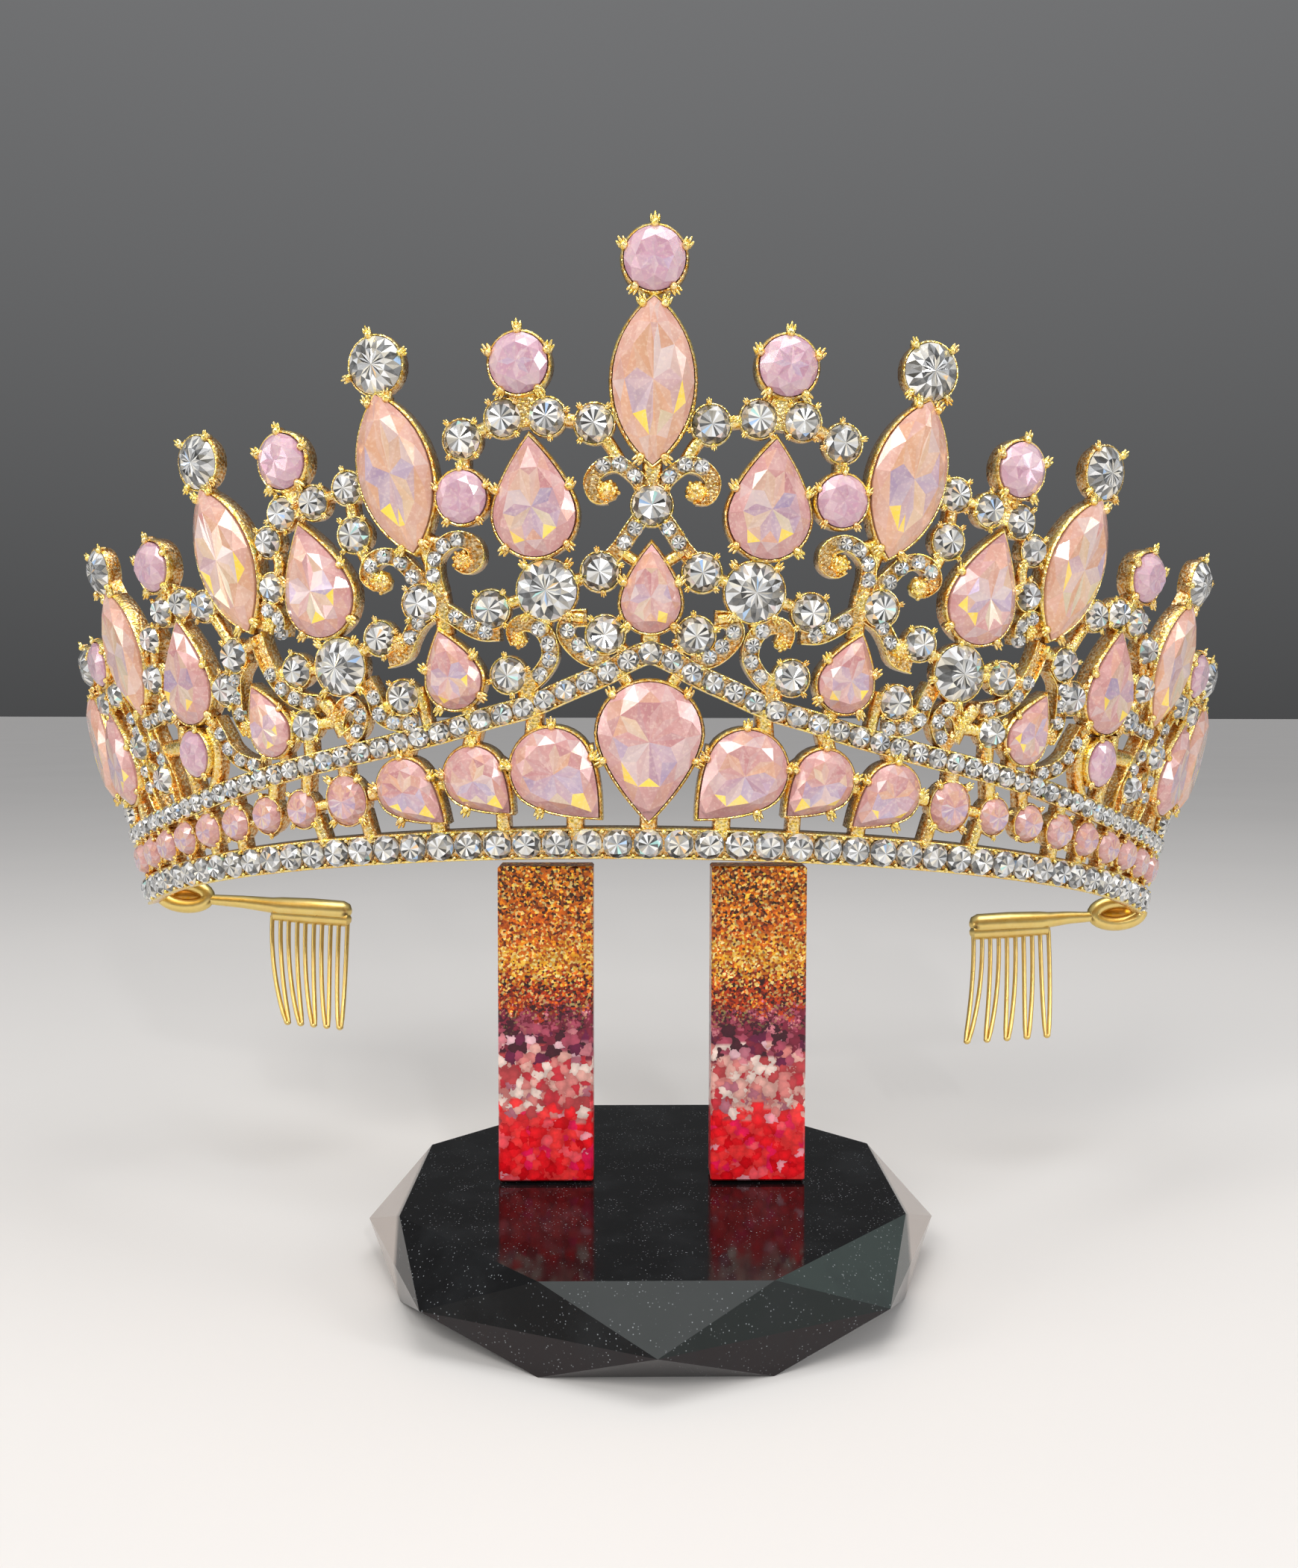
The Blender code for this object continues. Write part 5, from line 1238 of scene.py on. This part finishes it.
def wall_and_back(build_body, build_claws):
    """Bands, scrolls and struts as raised strips, and the knobs at the scrolls' ends."""
    edge = [(-ARC_END + 2.0 * ARC_END * i / BAND_PARTS, 0.0) for i in range(BAND_PARTS + 1)]
    strip(build_body, edge, LOWER_BAND_HALF, CHANNEL_PROFILE, 2)
    upper = [(-s, h) for s, h in reversed(UPPER_BAND[1:])] + UPPER_BAND
    strip(build_body, upper, UPPER_BAND_HALF, CHANNEL_PROFILE, 6)
    for width, points in SCROLLS:
        for line in (points, [(-s, h) for s, h in points]):
            strip(build_body, line, width / 2 + SCROLL_RIM, CHANNEL_PROFILE, 5)
    for width, points in STRUTS:
        for line in (points, [(-s, h) for s, h in points]):
            strip(build_body, line, width / 2, ROUND_PROFILE, 4)
    for width, points in CENTRE_STRUTS:
        strip(build_body, points, width / 2, ROUND_PROFILE, 4)
    rng = random.Random(7)
    for s, h, radius in KNOBS:
        for side in (1, -1):
            knob(build_claws, side * s, h, radius, rng)


KNOB_GRAINS = 16
KNOB_FLATTEN = 0.85
KNOB_RIM = 0.92               # how far out the outermost grains sit, as a share of the radius
GRAIN_SIZES = (0.26, 0.06)    # smallest radius, and how much larger the largest is


def knob(build, s, h, radius, rng):
    """A granulated knob: one flattened ball covered with small grains."""
    bead(build, s, h, 0.0, radius, KNOB_FLATTEN)
    for i in range(KNOB_GRAINS):
        a = GOLDEN_TURN * i
        r = radius * KNOB_RIM * math.sqrt((i + 0.5) / KNOB_GRAINS)
        t = radius * KNOB_FLATTEN * math.sqrt(max(0.0, 1.0 - (r / radius) ** 2))
        size = GRAIN_SIZES[0] + GRAIN_SIZES[1] * rng.random()
        bead(build, s + r * math.cos(a), h + r * math.sin(a), t * 0.9, size)


# Claws of the loose and of the fixed stones: level, size beside a large stone, size beside a small one
CUP_CLAW = (1.50, 1.5, 1.15)
FIXED_CLAW = (1.00, 1.3, 0.85)
CUP_SIDES = 40
FIXED_CUP_SIDES = 22


def settings(build_body, build_claws):
    """A cup and its claws round each stone."""
    level, large, small = CUP_CLAW
    for _, shape, tip, foot, width in all_cut_stones():
        seat = Seat(tip, foot)
        outline = stone_outline(shape, width, seat.height, CUP_SIDES)
        cup(build_body, seat, outline, CUP_RINGS)
        for degrees in CLAW_ANGLES[shape]:
            x, y, direction = outline_point(outline, degrees)
            size = large if width > 7 else small
            claw(build_claws, seat, x, y, lifted(direction, seat.lean), level, size)
    level, large, small = FIXED_CLAW
    fixed = [*mirrored_stones(CLEAR_PAIRS), *mirrored_stones(PINK_PAIRS), *CLEAR_CENTRE]
    for k, (s, h, width, height) in enumerate(fixed):
        seat = Seat((s, h + height / 2), (s, h - height / 2))
        outline = oval_outline(width, height, FIXED_CUP_SIDES)
        cup(build_body, seat, outline, FIXED_RINGS)
        first = 45 if k % 3 else 15
        for degrees in range(first, first + 360, 90):
            x, y, direction = outline_point(outline, degrees)
            claw(build_claws, seat, x, y, direction, level, large if width > 6 else small)


# Beads of the lower and the upper band: distance from the band's middle line, radius
LOWER_BEAD = (1.60, 0.34)
UPPER_BEAD = (1.20, 0.28)


def bead_pair(build, s, h, sizes):
    away, radius = sizes
    bead(build, s, h + away, 1.0, radius)
    bead(build, s, h - away, 1.0, radius)


def band_beads(build):
    """Small beads that hold the stones of the two bands."""
    count = int(ARC_END / BAND_STONE_PITCH)
    for i in range(-count, count + 1):
        s = (i + 0.5) * BAND_STONE_PITCH
        if abs(s) < ARC_END:
            bead_pair(build, s, 0.0, LOWER_BEAD)
    for s, h in band_positions(UPPER_BAND, UPPER_STONE_PITCH)[1::2]:
        for side in (1, -1):
            bead_pair(build, side * s, h, UPPER_BEAD)


# Levels of girdle and table of the stones of the lower band, the upper band and the scrolls
LOWER_STONE_LEVELS = (1.02, 1.7)
UPPER_STONE_LEVELS = (1.02, 1.55)
SMALL_STONE_LEVELS = (0.92, 1.35)
MIDDLE_UPPER_STONE = 3.1
SMALL_STONE = 2.05
TABLE_RISE = 0.06             # how much higher a stone's table is for each millimetre over 4


def clear_stones(build):
    """The clear stones that are set alone, in the two bands and along the scrolls, each with its own seed."""
    stones = [(s, h, width, height, FIXED_GIRDLE, FIXED_TABLE + TABLE_RISE * (width - 4.0))
              for s, h, width, height in (*mirrored_stones(CLEAR_PAIRS), *CLEAR_CENTRE)]
    count = int(ARC_END / BAND_STONE_PITCH)
    stones += [(i * BAND_STONE_PITCH, 0.0, BAND_STONE, BAND_STONE, *LOWER_STONE_LEVELS)
               for i in range(-count, count + 1)]
    for i, (s, h) in enumerate(band_positions(UPPER_BAND, UPPER_STONE_PITCH)[::2]):
        size = UPPER_STONE if i else MIDDLE_UPPER_STONE
        stones += [(side * s, h, size, size, *UPPER_STONE_LEVELS) for side in ((1, -1) if i else (1,))]
    for s, h in SMALL_STONES:
        stones += [(side * s, h, SMALL_STONE, SMALL_STONE, *SMALL_STONE_LEVELS) for side in (1, -1)]
    for seed, stone in enumerate(stones):
        fixed_stone(build, *stone, seed)


# Combs

# level is how bright the plating is painted: below 1 it carries painted shade, as in the casting's recesses
def tube(build, points, radius, sides, level=1.0):
    """A round wire along points of the tiara's frame, closed at both ends."""
    points = [Vector(p) for p in points]
    verts = []
    across = None
    for i, p in enumerate(points):
        a = points[max(i - 1, 0)]
        b = points[min(i + 1, len(points) - 1)]
        axis = (b - a).normalized()
        if across is None:
            across = axis.cross(Vector((0.0, 1.0, 0.0)))
            if across.length < 0.1:
                across = axis.cross(Vector((1.0, 0.0, 0.0)))
        across = (across - axis * across.dot(axis)).normalized()
        r = radius[i] if isinstance(radius, list) else radius
        verts += ring_round(p, across, axis.cross(across), r, sides)
    faces = ring_faces(len(points), sides)
    faces.append(tuple(range(sides - 1, -1, -1)))
    faces.append(tuple(range(len(verts) - sides, len(verts))))
    build.add(verts, faces, levels=np.full(len(verts), level))


# The cast loop: half width and half height of its ring, radius of its wire, and its height
LOOP_HALF = (3.9, 1.8)
LOOP_WIRE = 1.2
LOOP_HEIGHT = -8.6
# A plate behind the loop's ring, painted the deepest amber as the shade in the loop's hollow: half width, how
# far behind, radii along it
PLATE_HALF = 3.4
PLATE_BEHIND = 0.75
PLATE_RADII = (0.5, 1.0, 1.3, 1.5, 1.55, 1.5, 1.3, 1.0, 0.5)
# The doubled wire of a tooth: radius, distance from the tooth's middle, share of it that the tip draws in
TOOTH_WIRE = 0.38
TOOTH_HALF_GAP = 0.72
TOOTH_DRAWN_IN = 0.60
TOOTH_TIP_WIRE = 0.28
# The bend that joins a tooth's two wires at its tip: half width, depth and radius
BEND_HALF = 0.29
BEND_DEPTH = 0.24
BEND_WIRE = 0.34
TOOTH_TOP = -10.6
TOOTH_ADDED_LENGTH = 1.0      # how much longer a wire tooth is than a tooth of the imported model
FIRST_TOOTH_IN = 0.9          # from the bar's outer end
BAR_PAST_LAST_TOOTH = 1.4


def comb(side, lug_out, bar_out, lift, sweep_first, sweep_step):
    """Hair comb of doubled wire teeth on a bar, threaded through a cast loop behind the band's end."""
    build = Build()
    lug_in = lug_out - COMB_LUG_WIDTH
    middle = lug_out - COMB_LUG_WIDTH / 2

    def at(x, z, y=0.0):
        return (side * x, COMB_DEPTH + y, z + lift - COMB_SLOPE * (lug_in - x))

    def rod(stations, sides, level):
        """A round bar through stations: place, height and radius."""
        tube(build, [at(x, z) for x, z, _ in stations], [r for _, _, r in stations], sides, level)

    ring = circle(28)
    loop = [at(middle + LOOP_HALF[0] * c, LOOP_HEIGHT + LOOP_HALF[1] * s) for c, s in (*ring, ring[0])]
    tube(build, loop, LOOP_WIRE, 12)
    # the plate behind the ring is painted the deepest amber, as shade in the loop's hollow
    plate = [at(middle + PLATE_HALF * (i / 4 - 1.0), LOOP_HEIGHT, PLATE_BEHIND) for i in range(9)]
    tube(build, plate, list(PLATE_RADII), 10, 0.0)
    rod([(lug_out - 3.4, -6.9, 0.6), (lug_out - 5.0, -6.3, 0.8), (lug_out - 6.8, -6.4, 0.5)], 10, 1.0)

    first = bar_out - FIRST_TOOTH_IN
    end = first - COMB_TOOTH_PITCH * (COMB_TEETH - 1) - BAR_PAST_LAST_TOOTH
    half_way = (bar_out + end) / 2
    rod([(lug_in + 1.6, -8.9, 0.80), (lug_in - 0.6, -8.9, 0.90), ((lug_in + bar_out) / 2, -8.8, 1.05),
         (bar_out, -8.9, 1.30), (bar_out - 1.5, -9.0, 1.60), (half_way, -8.8, 1.70),
         (end + 1.5, -8.7, 1.65), (end + 0.5, -8.7, 1.2), (end + 0.1, -8.7, 0.4)], 14, 1.0)
    # the lower rod, the teeth and their bends carry a little painted shade, with levels just below 1
    rod([(bar_out, -10.3, 0.4), (bar_out - 0.5, -10.3, 1.10), (half_way, -10.2, 1.30),
         (end + 0.6, -10.1, 1.20), (end + 0.1, -10.1, 0.4)], 12, 0.95)

    drop = COMB_TOOTH_LENGTH + TOOTH_ADDED_LENGTH
    tip = TOOTH_TOP - drop
    for i in range(COMB_TEETH):
        x = first - i * COMB_TOOTH_PITCH
        sweep = sweep_first + sweep_step * i
        for half in (-TOOTH_HALF_GAP, TOOTH_HALF_GAP):
            wire = []
            for k in range(13):
                u = k / 12
                z = TOOTH_TOP - drop * u
                near = half * (1.0 - TOOTH_DRAWN_IN * u ** 3)
                wire.append(at(x + near - sweep * u * u, z, tooth_bow(z)))
            tube(build, wire, [TOOTH_WIRE] * 12 + [TOOTH_TIP_WIRE], 8, 0.88)
        bend = []
        for k in range(7):
            a = math.pi * k / 6
            across, down = BEND_HALF * math.cos(a), BEND_DEPTH * math.sin(a)
            bend.append(at(x - sweep + across, tip + 0.1 - down, tooth_bow(tip)))
        tube(build, bend, BEND_WIRE, 8, 0.9)
    return build


def tooth_bow(z):
    """The comb's teeth curve a little towards the head."""
    return -0.006 * max(0.0, -z - 12.0) ** 2


# The scene

def add_area(name, at, aim, size, power, colour):
    data = bpy.data.lights.new(name, "AREA")
    data.shape = "RECTANGLE"
    data.size, data.size_y = size
    data.energy = power
    data.color = colour
    obj = placed(name, data)
    obj.location = at
    obj.rotation_euler = (Vector(aim) - Vector(at)).to_track_quat("-Z", "Y").to_euler()


def add_camera():
    data = bpy.data.cameras.new("camera")
    data.sensor_width = 36.0
    data.sensor_fit = "AUTO"
    data.lens = CAMERA_FOCAL_PX * data.sensor_width / IMAGE_LONG_PX
    data.clip_start = 0.005
    data.clip_end = 50.0
    obj = placed("camera", data)
    forward = Vector(CAMERA_FORWARD).normalized()
    right = forward.cross(Vector(CAMERA_UP)).normalized()
    up = right.cross(forward)
    turn = Matrix((right, up, -forward)).transposed().to_4x4()
    obj.matrix_world = Matrix.Translation(Vector(CAMERA_AT) * MM) @ turn
    bpy.context.scene.camera = obj


FLOOR_HALF = 30.0
FLOOR_LIGHT = linear(226, 223, 220)
FLOOR_DARK = linear(214, 211, 208)


def add_floor():
    far = FLOOR_HALF
    mesh = bpy.data.meshes.new("floor")
    corners = [(-far, -far, 0.0), (far, -far, 0.0), (far, far, 0.0), (-far, far, 0.0)]
    mesh.from_pydata(corners, [], [(0, 1, 2, 3)])
    n = material_nodes("pale_floor")
    colour = n.mix(n.spread(n.noise(6.0, 3.0), 0.3, 0.7, 0.0, 0.25), FLOOR_LIGHT, FLOOR_DARK)
    mesh.materials.append(n.finish(colour, 0.55))
    placed("floor", mesh)


# The surroundings' glow: from which to which height, or depth, it changes, and its strength at each
GLOW_BY_HEIGHT = (-0.05, 0.75, 0.20, 0.78)
GLOW_BY_DEPTH = (-0.3, 0.75, 1.0, 0.30)
GLOW_TINT = (0.97, 0.98, 1.0)


def add_world():
    """Soft studio surroundings: bright overhead, darker towards the horizon, darkest behind the object."""
    world = bpy.data.worlds.new("studio")
    bpy.context.scene.world = world
    n = Nodes(world, "Generated")
    toward = n.split(n.place)
    glow = n.product(n.spread(toward["Z"], *GLOW_BY_HEIGHT), n.spread(toward["Y"], *GLOW_BY_DEPTH))
    back = n.tree.nodes["Background"]
    n.feed(back.inputs["Color"], GLOW_TINT)
    n.link(glow, back.inputs["Strength"])


# Name, place, size, power and colour of each lamp, in metres and watts
LAMPS = [
    ("key_light", (-0.22, -0.45, 0.50), (0.30, 0.22), 1.8, (1.0, 0.98, 0.95)),
    ("top_light", (0.05, -0.05, 0.62), (0.40, 0.30), 1.2, (1.0, 1.0, 1.0)),
    ("side_light_left", (-0.55, -0.20, 0.20), (0.10, 0.34), 0.6, (1.0, 0.99, 0.97)),
    ("side_light_right", (0.52, -0.30, 0.28), (0.10, 0.34), 0.9, (0.97, 0.98, 1.0)),
    ("spark_light", (0.12, -0.50, 0.32), (0.03, 0.03), 0.55, (1.0, 1.0, 1.0)),
]
LAMP_AIM = (0.0, 0.0, 0.08)


add_camera()
add_floor()
add_world()
for lamp_name, at, size, power, colour in LAMPS:
    add_area(lamp_name, at, LAMP_AIM, size, power, colour)
bpy.context.scene.view_settings.view_transform = "Standard"

gold = gold_material("look_gold_plate", GOLD_FRONT, GOLD_RECESS_SHADE, GOLD_GRAIN, 1.0)
comb_gold = gold_material("look_comb_gold", COMB_FRONT, COMB_RECESS_SHADE, COMB_GRAIN, COMB_RELIEF)
rose_look = opal_material("look_rose_opal")
peach_look = opal_material("look_peach_opal")
crystal = crystal_material("look_crystal")

body = Build()
claws = Build()
wall_and_back(body, claws)
settings(body, claws)
band_beads(claws)
body.make("casting", gold, "gold_plate", ["tiara_casting"], 42)
claws.make("claws_and_beads", gold, "gold_plate", (), 60)

# How much facets fade from corner to corner, and the first seed of each kind of stone
CRYSTAL_FADE, CRYSTAL_SEED = 0.35, 11
OPAL_FADE, PINK_SEED, STONE_SEED = 0.16, 12, 100
PINK_COLOUR_SEED = 500

crystals = Build(CRYSTAL_FADE, CRYSTAL_SEED)
clear_stones(crystals)
crystals.make("clear_crystals", crystal, "gold_plate")

pinks = Build(OPAL_FADE, PINK_SEED)
for number, place in enumerate(mirrored_stones(PINK_PAIRS)):
    fixed_stone(pinks, *place, FIXED_GIRDLE, FIXED_TABLE + 0.1, PINK_COLOUR_SEED + number // 2, True)
pinks.make("small_pink_stones", rose_look, "rose_opal")

for number, (name, shape, tip, foot, width) in enumerate(all_cut_stones()):
    stone = Build(OPAL_FADE, STONE_SEED + number)
    cut_stone(stone, name, shape, tip, foot, width)
    look, slot_name = (peach_look, "peach_opal") if shape == "marquise" else (rose_look, "rose_opal")
    stone.make("stone_" + name, look, slot_name, [name])

right_comb = comb(1, *COMB_RIGHT_PLACE, *COMB_RIGHT_SWEEP)
right_comb.make("wire_comb_right", comb_gold, "comb_gold", ["comb_right"], 50)
left_comb = comb(-1, *COMB_LEFT_PLACE, *COMB_LEFT_SWEEP)
left_comb.make("wire_comb_left", comb_gold, "comb_gold", ["comb_left"], 50)

post_look = glitter_material()
stand_looks = {"stand_base": base_material(), "stand_post_right": post_look, "stand_post_left": post_look}
for node_name, look in stand_looks.items():
    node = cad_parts[node_name]
    for material_slot in node.material_slots:
        material_slot.material = look
    edge = node.modifiers.new("soft_edges", "BEVEL")
    edge.width = 0.0002
    edge.segments = 2
    edge.limit_method = "ANGLE"
    edge.angle_limit = math.radians(8)
